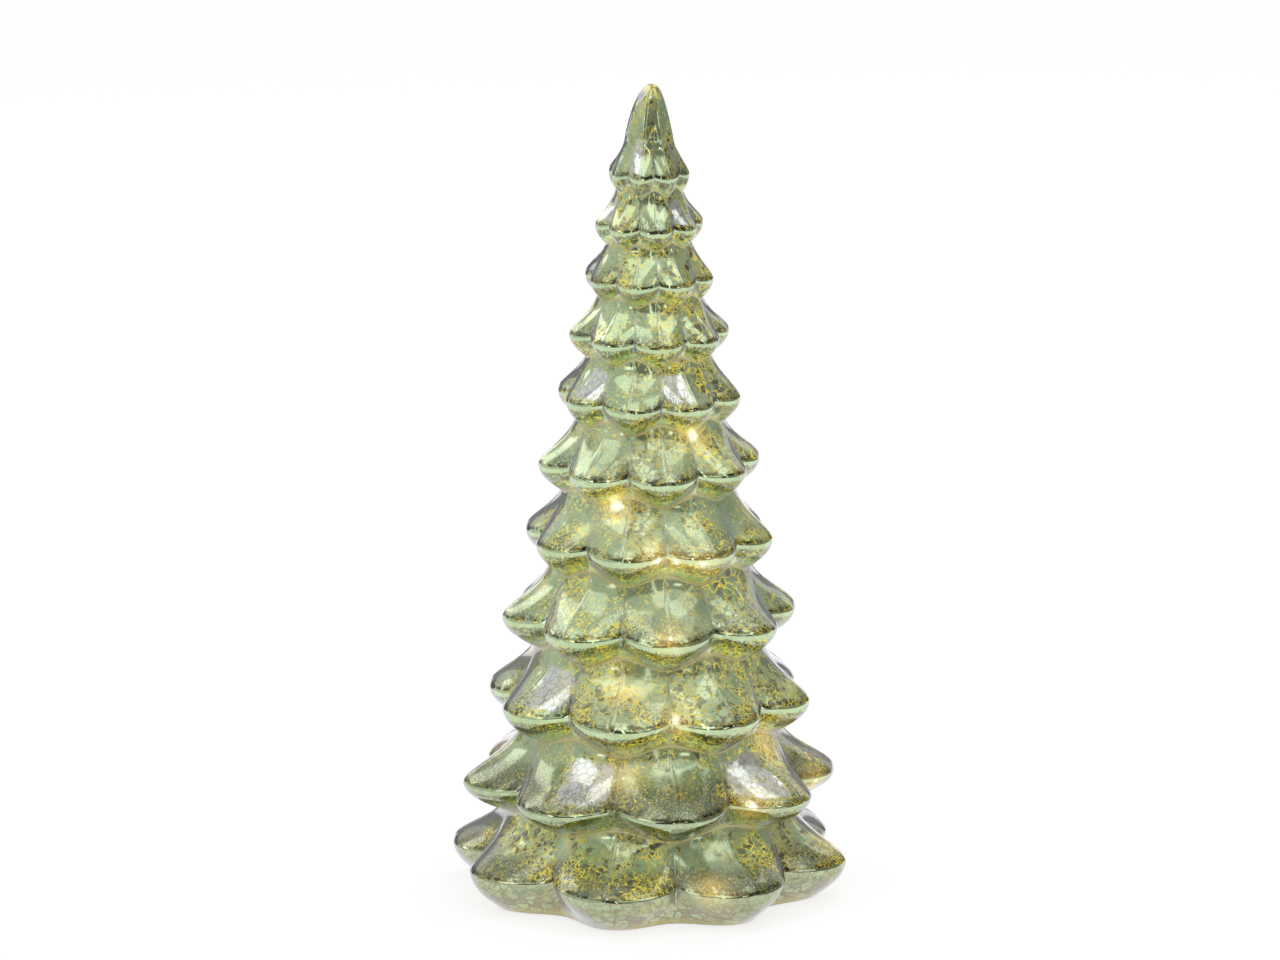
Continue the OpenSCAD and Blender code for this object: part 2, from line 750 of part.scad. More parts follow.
// Eight-legged timer chip
module timer_chip() {
    half_l = 2.45;
    half_w = 1.95;
    body_h = 1.5;
    leg = [0.4, 0.6, 0.7];
    leg_pitch = 1.27;
    legs_a_side = 4;
    edge_gap = 0.7;
    chip_x = -board_len * 3 / 14;
    chip_y = board_y - board_w / 2 + half_w + leg[1] + edge_gap;
    color([0.08, 0.08, 0.09])
    translate([chip_x, chip_y, 0]) {
        block(half_l, half_w, board_top, board_top + body_h);
        for (k = [0 : legs_a_side - 1])
            for (side = [-1, 1])
                translate([(k - (legs_a_side - 1) / 2) * leg_pitch, side * (half_w + leg[1] / 2), 0])
                block(leg[0] / 2, leg[1] / 2 + run_fit, board_top, board_top + leg[2]);
    }
}

// Watch crystal lying on the board
module timer_crystal() {
    can_r = 1;
    can_len = 6;
    leg_r = 0.2;
    leg_len = 1.2;
    edge_gap = 0.8;
    can_x = board_len * 3 / 28;
    can_y = board_y - board_w / 2 + can_r + edge_gap;
    color([0.75, 0.75, 0.74])
    translate([can_x, can_y, board_top + can_r]) {
        rotate([0, 90, 0]) cylinder(r = can_r, h = can_len);
        for (side = [-1, 1])
            translate([-leg_len, side * can_r / 2, 0])
            rotate([0, 90, 0])
            cylinder(r = leg_r, h = leg_len + cut);
    }
}

// Resistor that sets the lamps' current, with its waist and its bent legs
module series_resistor() {
    body_r = 0.9;
    body_half = 1.8;
    leg_r = 0.25;
    leg_half = 2.9;
    waist_r = 0.75;
    bulb_len = 1.1;
    body_x = board_len / 7;
    color([0.8, 0.7, 0.5])
    translate([body_x, board_y + body_r / 2, board_top + body_r + fit]) {
        rotate([0, 90, 0]) {
            translate([0, 0, -body_half]) cylinder(r = waist_r, h = 2 * body_half);
            for (end = [-body_half, body_half - bulb_len])
                translate([0, 0, end])
                cylinder(r = body_r, h = bulb_len);
            translate([0, 0, -leg_half]) cylinder(r = leg_r, h = 2 * leg_half);
        }
        for (side = [-1, 1])
            translate([side * leg_half, 0, -body_r - fit])
            cylinder(r = leg_r, h = body_r + fit + leg_r);
    }
}

// Switch body: a box open to the floor slot, with room for its carriage to slide
module switch_can() {
    room_half_l = (carriage_l + switch_travel) / 2 + touch_gap;
    room_half_w = carriage_w / 2 + touch_gap;
    slot_half_l = (stem_l + switch_travel) / 2 + touch_gap;
    color([0.74, 0.74, 0.73])
    translate([0, board_y, 0])
    difference() {
        block(can_l / 2, can_w / 2, can_z, can_z + can_h);
        block(room_half_l, room_half_w, can_z + can_wall, can_z + can_wall + carriage_h + 2 * touch_gap);
        block(slot_half_l, stem_w / 2 + touch_gap, can_z - cut, can_z + can_wall + touch_gap);
    }
}

// Sliding knob, drawn at ON, its end towards -X
module switch_knob() {
    carriage_z = can_z + can_wall + touch_gap;
    color([0.92, 0.92, 0.9])
    translate([-switch_travel / 2, board_y, 0]) {
        block(carriage_l / 2, carriage_w / 2, carriage_z, carriage_z + carriage_h);
        block(stem_l / 2, stem_w / 2, knob_tip_z, carriage_z + carriage_h / 2);
    }
}

// Door: plate, screw tab, hinge barrel with its two pins, and a finger scoop
module battery_door() {
    scoop_r = 9;
    scoop_depth = 0.7;
    scoop_x = scoop_r - door_end;
    tab_reach = tab_end - fit;
    pin_end = barrel_half + pin_len;
    color([0.2, 0.21, 0.2])
    difference() {
        union() {
            block(door_end, door_half_w, under_z, door_top);
            translate([hinge_x / 2, 0, 0]) block(hinge_x / 2, barrel_half, under_z, door_top);
            translate([-tab_reach / 2, 0, 0]) block(tab_reach / 2, tab_half_w, under_z, door_top);
            translate([hinge_x, barrel_half, hinge_z])
                rotate([90, 0, 0])
                cylinder(r = barrel_r, h = 2 * barrel_half);
            translate([hinge_x, pin_end, hinge_z])
                rotate([90, 0, 0])
                cylinder(r = pin_r, h = 2 * pin_end);
        }
        translate([scoop_x, 0, under_z + scoop_depth - scoop_r]) sphere(r = scoop_r);
        translate([door_screw_x, 0, under_z - cut])
            cylinder(r = door_screw_r + touch_gap, h = door_t + 2 * cut);
        translate([door_screw_x, 0, under_z - cut])
            cylinder(r = door_head_r + touch_gap, h = door_head_h + touch_gap + cut);
    }
}

module door_screw() {
    reach = 3.6;
    color([0.72, 0.72, 0.7])
    translate([door_screw_x, 0, door_top + reach])
    rotate([180, 0, 0])
    screw(door_head_r, door_head_h, door_screw_r, reach + door_t - door_head_h);
}

// A cell along X, its nub at +X, with its negative end on the spring's end
module cell(spot, turned) {
    neg_x = -bay_half_l + plate_t + spring_len + touch_gap;
    crimp = 0.5;
    translate([0, spot, cell_z])
    rotate(turned ? 180 : 0)
    translate([neg_x, 0, 0])
    rotate([0, 90, 0])
    rotate_extrude()
    polygon([
        [0, 0], [cell_d / 2 - crimp, 0], [cell_d / 2, crimp], [cell_d / 2, cell_body - crimp],
        [cell_d / 2 - crimp, cell_body], [nub_r, cell_body], [nub_r, cell_len], [0, cell_len]
    ]);
}

module battery_front() {
    color([0.75, 0.62, 0.25]) cell(-cell_pitch, false);
}

module battery_middle() {
    color([0.75, 0.62, 0.25]) cell(0, true);
}

module battery_rear() {
    color([0.75, 0.62, 0.25]) cell(cell_pitch, false);
}

module contact_springs() {
    color([0.8, 0.8, 0.78])
    for (spot = [[-cell_pitch, 0], [0, 180], [cell_pitch, 0]])
        translate([0, spot[0], cell_z])
        rotate(spot[1])
        translate([-bay_half_l + plate_t, 0, 0])
        tube(spring_path, spring_wire_r, [1, 0, 0]);
}

plate_margin = 0.8;
plate_half_w = cell_d / 2 - plate_margin;
plate_low = floor_top + cell_gap;
plate_high = bay_top - fit;

// Plates that join one cell to the next at the bay's ends
module bridge_plates() {
    color([0.78, 0.78, 0.76])
    for (side = [-1, 1])
        translate([side * (bay_half_l - plate_t / 2), side * cell_pitch / 2, 0])
        block(plate_t / 2, plate_half_w + cell_pitch / 2, plate_low, plate_high);
}

// Plates at the two free ends of the row of cells, with tabs through the roof
module terminal_plates() {
    color([0.78, 0.78, 0.76])
    for (side = [-1, 1])
        translate([side * (bay_half_l - plate_t / 2), -side * cell_pitch, 0]) {
            block(plate_t / 2, plate_half_w, plate_low, plate_high);
            block(plate_t / 2, tab_w / 2, plate_low, tab_top);
        }
}

module positive_lead() {
    color([0.75, 0.12, 0.1]) tube(positive_points, lead_r, [0, 0, 1]);
}

module negative_lead() {
    color([0.1, 0.1, 0.1]) tube(negative_points, lead_r, [0, 0, 1]);
}

module rubber_pads() {
    edge = 0.3;
    color([0.14, 0.14, 0.14])
    place_pads() {
        cylinder(r1 = pad_r - edge, r2 = pad_r, h = edge);
        translate([0, 0, edge]) cylinder(r = pad_r, h = under_z + pad_sink - edge);
    }
}

glass_tree();
base_gasket();
base_housing();
base_lid();
lid_screws();
light_post();
post_cap();
led_wire();
led_lamps();
circuit_board();
board_screws();
timer_chip();
timer_crystal();
series_resistor();
switch_can();
switch_knob();
battery_door();
door_screw();
battery_front();
battery_middle();
battery_rear();
contact_springs();
bridge_plates();
terminal_plates();
positive_lead();
negative_lead();
rubber_pads();
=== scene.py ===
# %% [markdown]
# # A lighted glass Christmas tree
# The construction of the tree is finished: a blown shell of scalloped tiers over a battery base, with a
# string of lamps inside. This lesson loads it, keeps it fixed, and gives it the looks of the real one.
# It could be dressed piece by piece in any order; here the camera and the light come first, because a
# mirror-like glass shows little but what stands around it.

# %% Load the construction
import math

import bpy
import numpy as np
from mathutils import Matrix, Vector
from mathutils.bvhtree import BVHTree


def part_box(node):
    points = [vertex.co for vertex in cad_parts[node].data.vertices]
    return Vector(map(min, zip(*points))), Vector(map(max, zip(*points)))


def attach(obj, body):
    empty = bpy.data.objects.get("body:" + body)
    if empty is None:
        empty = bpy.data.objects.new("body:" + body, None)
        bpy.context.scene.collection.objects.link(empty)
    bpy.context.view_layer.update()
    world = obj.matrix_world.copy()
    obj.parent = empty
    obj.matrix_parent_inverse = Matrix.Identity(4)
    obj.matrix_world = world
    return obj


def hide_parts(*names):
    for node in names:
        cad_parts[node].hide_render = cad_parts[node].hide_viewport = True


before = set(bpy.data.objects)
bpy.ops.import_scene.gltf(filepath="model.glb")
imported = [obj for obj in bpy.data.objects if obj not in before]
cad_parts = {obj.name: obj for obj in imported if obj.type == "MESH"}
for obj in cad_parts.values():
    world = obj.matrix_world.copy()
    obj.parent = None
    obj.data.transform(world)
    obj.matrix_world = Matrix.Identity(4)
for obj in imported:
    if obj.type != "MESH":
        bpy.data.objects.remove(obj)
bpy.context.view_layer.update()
mm = 0.001
scene = bpy.context.scene
print("nodes in the construction:", len(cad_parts))

# %% [markdown]
# ## Camera
# The photograph looks down on the tree a little, from far enough away that perspective hardly tapers it.
# A camera could be placed by eye; here its angles, distance and framed width are named, so that the same
# numbers also turn a point of the picture into a ray further down.

# %% Camera at the photograph's viewing angle
frame_w = 1280
frame_h = 960
view_azimuth = math.radians(13.1)
view_elevation = math.radians(14.0)
view_distance = 4.03
framed_width = 0.4652
aim = Vector((0, 0, 0.151))
aim_px = Vector((649.1, 485.2))


def direction(azimuth, elevation):
    """Unit vector from the tree towards a place round it; azimuth 0 is the -Y side."""
    level = math.cos(elevation)
    return Vector((math.sin(azimuth) * level, -math.cos(azimuth) * level, math.sin(elevation)))


camera_data = bpy.data.cameras.new("camera")
camera = bpy.data.objects.new("camera", camera_data)
scene.collection.objects.link(camera)
to_camera = direction(view_azimuth, view_elevation)
camera.location = aim + view_distance * to_camera
camera.rotation_euler = (-to_camera).to_track_quat("-Z", "Y").to_euler()
camera_data.lens = camera_data.sensor_width * view_distance / framed_width
camera_data.shift_x = (frame_w / 2 - aim_px.x) / frame_w
camera_data.shift_y = (aim_px.y - frame_h / 2) / frame_w
scene.camera = camera
view_right = Vector((math.cos(view_azimuth), math.sin(view_azimuth), 0))
view_up = view_right.cross(-to_camera)
px_size = framed_width / frame_w
scene.view_settings.view_transform = "Standard"
print("camera at", [round(c, 3) for c in camera.location], "lens", round(camera_data.lens, 1))

# %% [markdown]
# ## Writing shaders as expressions
# A finish is a tree of nodes. Placing them by hand in the editor is one way to make it; in a script the
# maths reads better as Python. `Wire` wraps one output socket, and its operators add Math nodes. `Sheet`
# adds every other kind of node through one method: the type, then its settings, then its sockets.

# %% A socket with operators


def operator(operation, turned=False):
    """A method that joins a wire and another value in one Math node; turned puts the other value first."""
    return lambda wire, other: wire.math(operation, *((other, wire) if turned else (wire, other)))


class Wire:
    """One output socket of a node; arithmetic on it adds Math nodes."""

    def __init__(self, sheet, socket):
        self.sheet = sheet
        self.socket = socket

    def math(self, operation, first, second):
        """One Math node on two values, of which at least one is a wire."""
        return self.sheet.node("ShaderNodeMath", {"operation": operation}, {0: first, 1: second})

    __add__ = operator("ADD")
    __radd__ = operator("ADD", turned=True)
    __sub__ = operator("SUBTRACT")
    __rsub__ = operator("SUBTRACT", turned=True)
    __mul__ = operator("MULTIPLY")
    __rmul__ = operator("MULTIPLY", turned=True)
    __truediv__ = operator("DIVIDE")
    __rtruediv__ = operator("DIVIDE", turned=True)
    top = operator("MAXIMUM")

    def rise(self, low, high):
        """0 below low, 1 above high, with a smooth step between."""
        inputs = {"Value": self, "From Min": low, "From Max": high}
        return self.sheet.node("ShaderNodeMapRange", {"interpolation_type": "SMOOTHSTEP"}, inputs)

    def fall(self, low, high):
        """1 below low, 0 above high."""
        return 1 - self.rise(low, high)

    def near(self, middle, inner, outer):
        """1 within inner of a middle value, 0 beyond outer."""
        off = self - middle
        return off.top(0 - off).fall(inner, outer)


print("a wire can:", [name for name in vars(Wire) if not name.startswith("_")])

# %% A tree of nodes, and a material that owns one


class Sheet:
    """A node tree that is written one call at a time."""

    def __init__(self, tree):
        self.tree = tree

    def join(self, socket, value):
        """Links a wire to a socket, or sets a constant on it."""
        if isinstance(value, Wire):
            self.tree.links.new(value.socket, socket)
        elif socket.type == "RGBA":
            socket.default_value = (*value, 1.0)
        else:
            socket.default_value = value

    def node(self, kind, settings=None, inputs=None, output=0):
        """Any node: its type, the settings that come first, its sockets, and the output that is used."""
        made = self.tree.nodes.new(kind)
        for key, value in (settings or {}).items():
            setattr(made, key, value)
        for key, value in (inputs or {}).items():
            self.join(made.inputs[key], value)
        return Wire(self, made.outputs[output])

    def blend(self, factor, first, second):
        """Colour that goes from first to second as factor goes from 0 to 1."""
        return self.node("ShaderNodeMix", {"data_type": "RGBA"}, {0: factor, 6: first, 7: second}, 2)

    def tint(self, colour, factor):
        """Colour times a value, which fades it to black."""
        return self.blend(factor, (0, 0, 0), colour)

    def joined(self, operation, first, second):
        """Vector Math on two vectors."""
        return self.node("ShaderNodeVectorMath", {"operation": operation}, {0: first, 1: second})

    def scaled(self, vector, factor):
        """Vector times a value."""
        return self.node("ShaderNodeVectorMath", {"operation": "SCALE"}, {0: vector, "Scale": factor})

    def stretched(self, vector, x=1.0, y=1.0, z=1.0):
        """Place scaled along its axes; a factor below 1 draws a texture out along that axis."""
        return self.joined("MULTIPLY", vector, (x, y, z))

    def part(self, vector, axis):
        """X, Y or Z of a vector."""
        return self.node("ShaderNodeSeparateXYZ", {}, {0: vector}, axis)

    def turned(self):
        """0 where the surface faces the eye, 1 where it turns away."""
        return self.node("ShaderNodeLayerWeight", {}, {"Blend": 0.5}, "Facing")

    def noise(self, point, size, detail=3.0, output="Fac"):
        """Noise whose blobs are about so many millimetres wide."""
        inputs = {"Vector": point, "Scale": 1 / size, "Detail": detail}
        return self.node("ShaderNodeTexNoise", {}, inputs, output)

    def cells(self, point, size, feature="F1", output="Distance"):
        """Voronoi cells of one size in millimetres."""
        inputs = {"Vector": point, "Scale": 1 / size}
        return self.node("ShaderNodeTexVoronoi", {"feature": feature}, inputs, output)

    def mark(self, name):
        """A value that the mesh carries at its points."""
        return self.node("ShaderNodeAttribute", {"attribute_name": name}, {}, "Fac")

    def point_mm(self):
        """Place on the piece in millimetres."""
        return self.scaled(self.node("ShaderNodeTexCoord", {}, {}, "Object"), 1 / mm)


class Finish(Sheet):
    """A material with one Principled shader."""

    def __init__(self, name):
        self.material = bpy.data.materials.new(name)
        self.material.use_nodes = True
        super().__init__(self.material.node_tree)
        self.shader = self.tree.nodes["Principled BSDF"]

    def surface(self, inputs):
        """Fills in the shader and gives the material."""
        for key, value in inputs.items():
            self.join(self.shader.inputs[key], value)
        return self.material

    def relief(self, height, distance):
        """Normal of a surface raised by height times distance."""
        return self.node("ShaderNodeBump", {}, {"Strength": 1.0, "Distance": distance, "Height": height})


print("shader helpers ready")

# %% [markdown]
# ## Stage
# The tree stands on white in soft light. A bright lamp could burn the floor out to white, but it would
# burn the glass out too. Here the world is white to rays that look straight at it, pale grey to mirrored
# ones, and gives a plain level of light otherwise. The floor glows for rays that look at it and keeps part
# of its own shading, so the foot has its faint shadow. It is clear from below, so the base can be seen.

# %% World and floor
fill_level = 0.5
mirror_level = 0.68
floor_size = 40.0
floor_glow = 0.74
floor_shade = 0.42


def ray_is(sheet, kind):
    """1 for rays of one kind: Camera, Glossy, Transmission."""
    return sheet.node("ShaderNodeLightPath", {}, {}, f"Is {kind} Ray")


def looked_at(sheet):
    """1 for rays that show a surface: straight, mirrored or through glass."""
    return ray_is(sheet, "Camera").top(ray_is(sheet, "Glossy")).top(ray_is(sheet, "Transmission"))


world = bpy.data.worlds.new("studio")
world.use_nodes = True
scene.world = world
sky = Sheet(world.node_tree)
sky_seen = ray_is(sky, "Camera").top(ray_is(sky, "Transmission"))
sky_mirrored = ray_is(sky, "Glossy")
backdrop = world.node_tree.nodes["Background"]
sky.join(backdrop.inputs["Color"], (1, 1, 1))
sky_level = fill_level + (1 - fill_level) * sky_seen + (mirror_level - fill_level) * sky_mirrored
sky.join(backdrop.inputs["Strength"], sky_level)


def add_mesh(name, points, faces, smooth=True):
    """A new object from points and faces."""
    mesh = bpy.data.meshes.new(name)
    mesh.from_pydata(points, [], faces)
    mesh.polygons.foreach_set("use_smooth", [smooth] * len(mesh.polygons))
    made = bpy.data.objects.new(name, mesh)
    scene.collection.objects.link(made)
    return made


half_floor = floor_size / 2
floor_corners = [(-half_floor, -half_floor, 0), (half_floor, -half_floor, 0),
                 (half_floor, half_floor, 0), (-half_floor, half_floor, 0)]
floor = add_mesh("floor", floor_corners, [(0, 1, 2, 3)], smooth=False)
floor_finish = Finish("floor_paper")
floor_seen = looked_at(floor_finish)
floor_finish.surface({
    "Base Color": (floor_shade, floor_shade, floor_shade),
    "Roughness": 1.0,
    "Specular IOR Level": 0.0,
    "Emission Color": floor_finish.tint((floor_glow, floor_glow, floor_glow), floor_seen),
    "Emission Strength": 1.0,
})
floor_output = floor_finish.tree.nodes["Material Output"]
below = floor_finish.node("ShaderNodeNewGeometry", {}, {}, "Backfacing")
clear = floor_finish.node("ShaderNodeBsdfTransparent")
paper = Wire(floor_finish, floor_finish.shader.outputs[0])
floor_finish.join(floor_output.inputs["Surface"],
                  floor_finish.node("ShaderNodeMixShader", {}, {0: below, 1: paper, 2: clear}))
floor.data.materials.append(floor_finish.material)
print("floor", floor_size, "m wide, fill light", fill_level)

# %% [markdown]
# ## Softboxes and dark cards
# Silvered glass is read by its reflections: white windows on the silver patches, sparks on the lobes and
# grey between them. Painted on the glass, these would stay put as the view turns. They are real things
# here, hidden from the camera: three wide softboxes high in front and at the sides, a strip and two small
# sparks lower down, two softboxes for the far side, and grey cards round the table.

# %% Softboxes and cards round the table
card_distance = 2.4
card_columns = 16


def softbox(name, radiance, azimuth, elevation, distance, width, height):
    """An area lamp that faces the tree; its angles are counted from the camera, in degrees."""
    lamp = bpy.data.lights.new(name, "AREA")
    lamp.shape = "RECTANGLE"
    lamp.size = width
    lamp.size_y = height
    lamp.energy = radiance * math.pi * width * height
    box = bpy.data.objects.new(name, lamp)
    scene.collection.objects.link(box)
    toward = direction(view_azimuth + math.radians(azimuth), math.radians(elevation))
    box.location = aim + distance * toward
    box.rotation_euler = (-toward).to_track_quat("-Z", "Y").to_euler()
    box.visible_camera = False


def card(name, tone, azimuth, spread, low, high):
    """An upright curved card; azimuth counts from the camera, low and high from the aim, in degrees."""
    finish = Finish(name)
    finish.surface({"Base Color": (tone, tone, tone), "Roughness": 1.0, "Specular IOR Level": 0.0})
    points = []
    for k in range(card_columns + 1):
        turn = math.radians(azimuth + spread * (k / card_columns - 0.5))
        flat = direction(view_azimuth + turn, 0) * card_distance
        for angle in (low, high):
            points.append((flat.x, flat.y, aim.z + card_distance * math.tan(math.radians(angle))))
    faces = [(2 * k, 2 * k + 2, 2 * k + 3, 2 * k + 1) for k in range(card_columns)]
    made = add_mesh(name, points, faces)
    made.data.materials.append(finish.material)
    made.visible_camera = False
    made.visible_diffuse = False
    made.visible_shadow = False


softbox("softbox_front", radiance=0.9, azimuth=4, elevation=56, distance=1.4, width=0.44, height=0.74)
softbox("softbox_near_left", radiance=0.9, azimuth=-60, elevation=54, distance=1.5, width=0.6, height=0.9)
softbox("softbox_near_right", radiance=0.9, azimuth=68, elevation=54, distance=1.5, width=0.6, height=0.9)
softbox("strip_front", radiance=1.7, azimuth=3, elevation=24, distance=1.4, width=0.1, height=0.8)
softbox("spark_left", radiance=2.2, azimuth=-38, elevation=22, distance=1.4, width=0.2, height=0.16)
softbox("spark_right", radiance=2.2, azimuth=36, elevation=22, distance=1.4, width=0.2, height=0.16)
softbox("softbox_left", radiance=1.5, azimuth=-128, elevation=30, distance=1.6, width=0.5, height=0.7)
softbox("softbox_back", radiance=1.5, azimuth=150, elevation=44, distance=1.6, width=0.8, height=0.7)
card("card_front", tone=0.2, azimuth=10, spread=90, low=8, high=36)
card("card_right", tone=0.6, azimuth=100, spread=80, low=-3.2, high=46)
card("card_back", tone=0.35, azimuth=188, spread=70, low=-3.2, high=10)

# %% [markdown]
# ## Shape of the blown glass
# The shell was blown into a mould with eleven tiers of eight lobes, each tier turned by half a lobe. A
# lobe could be sculpted once and copied round; here the whole skin is one formula, the one that built the
# solid, with a slightly fuller roll at the rims. On each tier the radius and height go from a midrib curve
# to a groove curve as u goes from 0 to 1, and t runs from the neck (0) over the rim (1) to the next (2).

# %% Driving sizes of the shell
glass_low, glass_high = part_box("glass_tree")
tree_height = glass_high.z
foot_rim_r = glass_high.x
top_rim_r = 14.8 * mm
foot_rim_z = 13.4 * mm
top_rim_z = tree_height - 32.7 * mm
foot_pitch = 28.4 * mm
pitch_growth = 1.65
turned_reach = 1.025
core_share = 0.75
nose_height = 19.2 * mm
nose_z = tree_height - nose_height
nose_r = 8.95 * mm
foot_r = foot_rim_r - 10.4 * mm
foot_groove_share = 0.85
nose_flute = 0.1
glass_wall = 2.0 * mm
glass_lift = glass_low.z
tier_count = 11
lobe_count = 8
last_tier = tier_count - 1
print("tree", round(tree_height / mm, 1), "mm tall,", round(2 * foot_rim_r / mm, 1), "mm wide")

# %% Heights and radii of the tiers


def mix(a, b, t):
    return a + (b - a) * t


def ease(t):
    return t * t * (3 - 2 * t)


def rise(value, low, high):
    """0 below low, 1 above high, with a smooth step between."""
    return ease(np.clip((value - low) / (high - low), 0, 1))


def cubic(a, b, c, d, t):
    return (1 - t) ** 3 * a + 3 * (1 - t) ** 2 * t * b + 3 * (1 - t) * t * t * c + t ** 3 * d


steps = [mix(1, pitch_growth, ease(k / (tier_count - 3))) for k in range(tier_count - 2)]
step_unit = (top_rim_z - foot_rim_z - foot_pitch) / sum(steps)
rim_z = [top_rim_z - step_unit * sum(steps[:i]) for i in range(last_tier)] + [foot_rim_z]


def cone_r(z):
    return mix(top_rim_r, foot_rim_r, (top_rim_z - z) / (top_rim_z - foot_rim_z))


def core_r(z):
    return core_share * cone_r(z)


rim_r = [cone_r(z) * (turned_reach if i % 2 else 1) for i, z in enumerate(rim_z)]
print("rims at", [round(z / mm, 1) for z in rim_z])

# %% Necks between the tiers
neck_share_top = 0.285
neck_share_foot = 0.32
drape_share = 0.21


def neck_z(i):
    if i == 0:
        return nose_z
    if i == tier_count:
        return glass_lift
    return mix(rim_z[i - 1], rim_z[i], mix(neck_share_top, neck_share_foot, (i - 1) / (tier_count - 2)))


def drape(i):
    return 0 if i in (0, tier_count) else drape_share * (neck_z(i) - rim_z[i])


def neck_r(i, z, groove):
    if i == 0:
        return nose_r * (1 - nose_flute if groove else 1)
    if i == tier_count:
        return foot_r * (foot_groove_share if groove else 1)
    return core_r(z)


print("necks at", [round(neck_z(i) / mm, 1) for i in range(tier_count + 1)])

# %% Skin of one tier
rib_fall = 0.59
rib_flare = 0.29
rib_start = 0.1
rib_end = 0.02
hang_drop = 0.47
hang_rise = 0.25
hang_tuck = 0.41
notch_lift = 0.06
notch_share_top = 0.9
notch_share_foot = 0.82
panel_power = 1.03
roll_power = 5
rim_power = 1.9
seam_end = 0.3


def notch_r(i):
    return mix(notch_share_top, notch_share_foot, i / last_tier) * cone_r(rim_z[i])


def seam(u):
    """Share of the midrib at a neck, the same for the tier above and the half-turned one below."""
    return np.cos(np.pi / 2 * u) ** 2


def panel(i, t, u):
    """Radius and height at a place above the rim of tier i."""
    top_z = neck_z(i) + drape(i) / 2
    low_z = neck_z(i) - drape(i) / 2
    top_r = neck_r(i, top_z, False)
    height = top_z - rim_z[i]
    width = rim_r[i] - top_r
    rib_r = cubic(top_r, top_r + rib_start * width, rim_r[i] - rib_end * width, rim_r[i], t)
    rib_z = cubic(top_z, top_z - rib_fall * height, rim_z[i] + rib_flare * height, rim_z[i], t)
    groove_r = mix(neck_r(i, low_z, True), notch_r(i), t)
    groove_z = mix(low_z, rim_z[i] + notch_lift * height, t)
    lobe = 1 - u ** mix(panel_power, rim_power, t ** roll_power)
    share = mix(seam(u), lobe, rise(t, 0, seam_end))
    return np.array([mix(groove_r, rib_r, share), mix(groove_z, rib_z, share)])


def underside(i, t, u):
    """Radius and height at a place below the rim of tier i."""
    low_z = neck_z(i + 1) - drape(i + 1) / 2
    high_z = neck_z(i + 1) + drape(i + 1) / 2
    low_r = neck_r(i + 1, low_z, False)
    height = rim_z[i] - low_z
    width = rim_r[i] - low_r
    notch_z = rim_z[i] + notch_lift * (neck_z(i) + drape(i) / 2 - rim_z[i])
    rib_r = cubic(rim_r[i], rim_r[i], low_r + hang_tuck * width, low_r, t)
    rib_z = cubic(rim_z[i], rim_z[i] - hang_drop * height, low_z + hang_rise * height, low_z, t)
    groove_r = mix(notch_r(i), neck_r(i + 1, high_z, True), t)
    groove_z = mix(notch_z, high_z, t)
    share = mix(1 - u ** rim_power, seam(u), ease(t))
    return np.array([mix(groove_r, rib_r, share), mix(groove_z, rib_z, share)])


print("lowest rim reaches", round(panel(last_tier, 1, 0)[0] / mm, 1), "mm from the axis")

# %% Columns round the tree and rows down each tier
half_lobe_columns = 16
half_lobes = 2 * lobe_count
crowding = 0.75
panel_rows = 15
under_rows = 11


def crowded(count, strength):
    """Shares from 0 to 1 that lie closer together near both ends."""
    s = np.linspace(0, 1, count)
    return s - strength * np.sin(2 * np.pi * s) / (2 * np.pi)


half_columns = crowded(half_lobe_columns + 1, crowding)[:-1]
turns = (np.arange(half_lobes)[:, None] + half_columns).ravel() / half_lobes
angles = 2 * np.pi * turns - np.pi / 2
panel_shares = crowded(panel_rows, crowding)
under_shares = 1 + crowded(under_rows, crowding)[1:-1]
tier_shares = np.concatenate([panel_shares, under_shares])
column_count = len(angles)
half_of_column = (np.floor(half_lobes * turns) % half_lobes).astype(int)


def off_rib(i):
    """0 on the midribs of tier i, 1 in its grooves, for each column."""
    turn = lobe_count * turns + (i % 2) / 2
    return 2 * np.abs(turn - np.round(turn))


def ring_points(r, z):
    """Points at radius r and height z, one for each angle."""
    return np.stack([r * np.cos(angles), r * np.sin(angles), z + 0 * angles], axis=-1)


def tier_grid(i, shares, narrowing=1.0):
    """Points of tier i: a row for each share, a column for each angle."""
    u = np.minimum(1, narrowing * off_rib(i)[None, :])
    t = shares[:, None]
    over = panel(i, np.minimum(t, 1), u)
    under = underside(i, np.maximum(t - 1, 0), u)
    return ring_points(*np.where(t <= 1, over, under))


print("skin grid:", column_count, "columns,", len(tier_shares), "rows a tier")

# %% [markdown]
# ## Nose and pulled-off tip
# The top of the shell is a bullet with shallow flutes. Where the gather was pulled off, a slanted facet
# is left on one side. A bullet could be a scaled sphere; its own curve keeps the real fullness, and the
# facet is made by laying the points that stand out past a slanted plane down onto it.

# %% Nose
nose_rows = 26
nose_fullness = 0.45
tip_lean = 0.9 * mm
lean_angle = math.radians(13)
facet_low = Vector((-4.6 * mm, 0, 294.5 * mm))
facet_high = Vector((-0.8 * mm, 0, 298.9 * mm))
facet_turn = 0.35
facet_edge = 0.2 * mm

lean = tip_lean * np.array([math.cos(lean_angle), math.sin(lean_angle), 0])


def nose_grid(shares, inset):
    s = shares[:, None]
    depth = nose_flute * (1 - s) * (1 - seam(off_rib(0)))
    r = (nose_r - inset) * (1 - s) ** nose_fullness * (1 - depth)
    z = nose_z + (nose_height - 2 * inset) * s
    return ring_points(r, z) + (s ** 2)[:, :, None] * lean


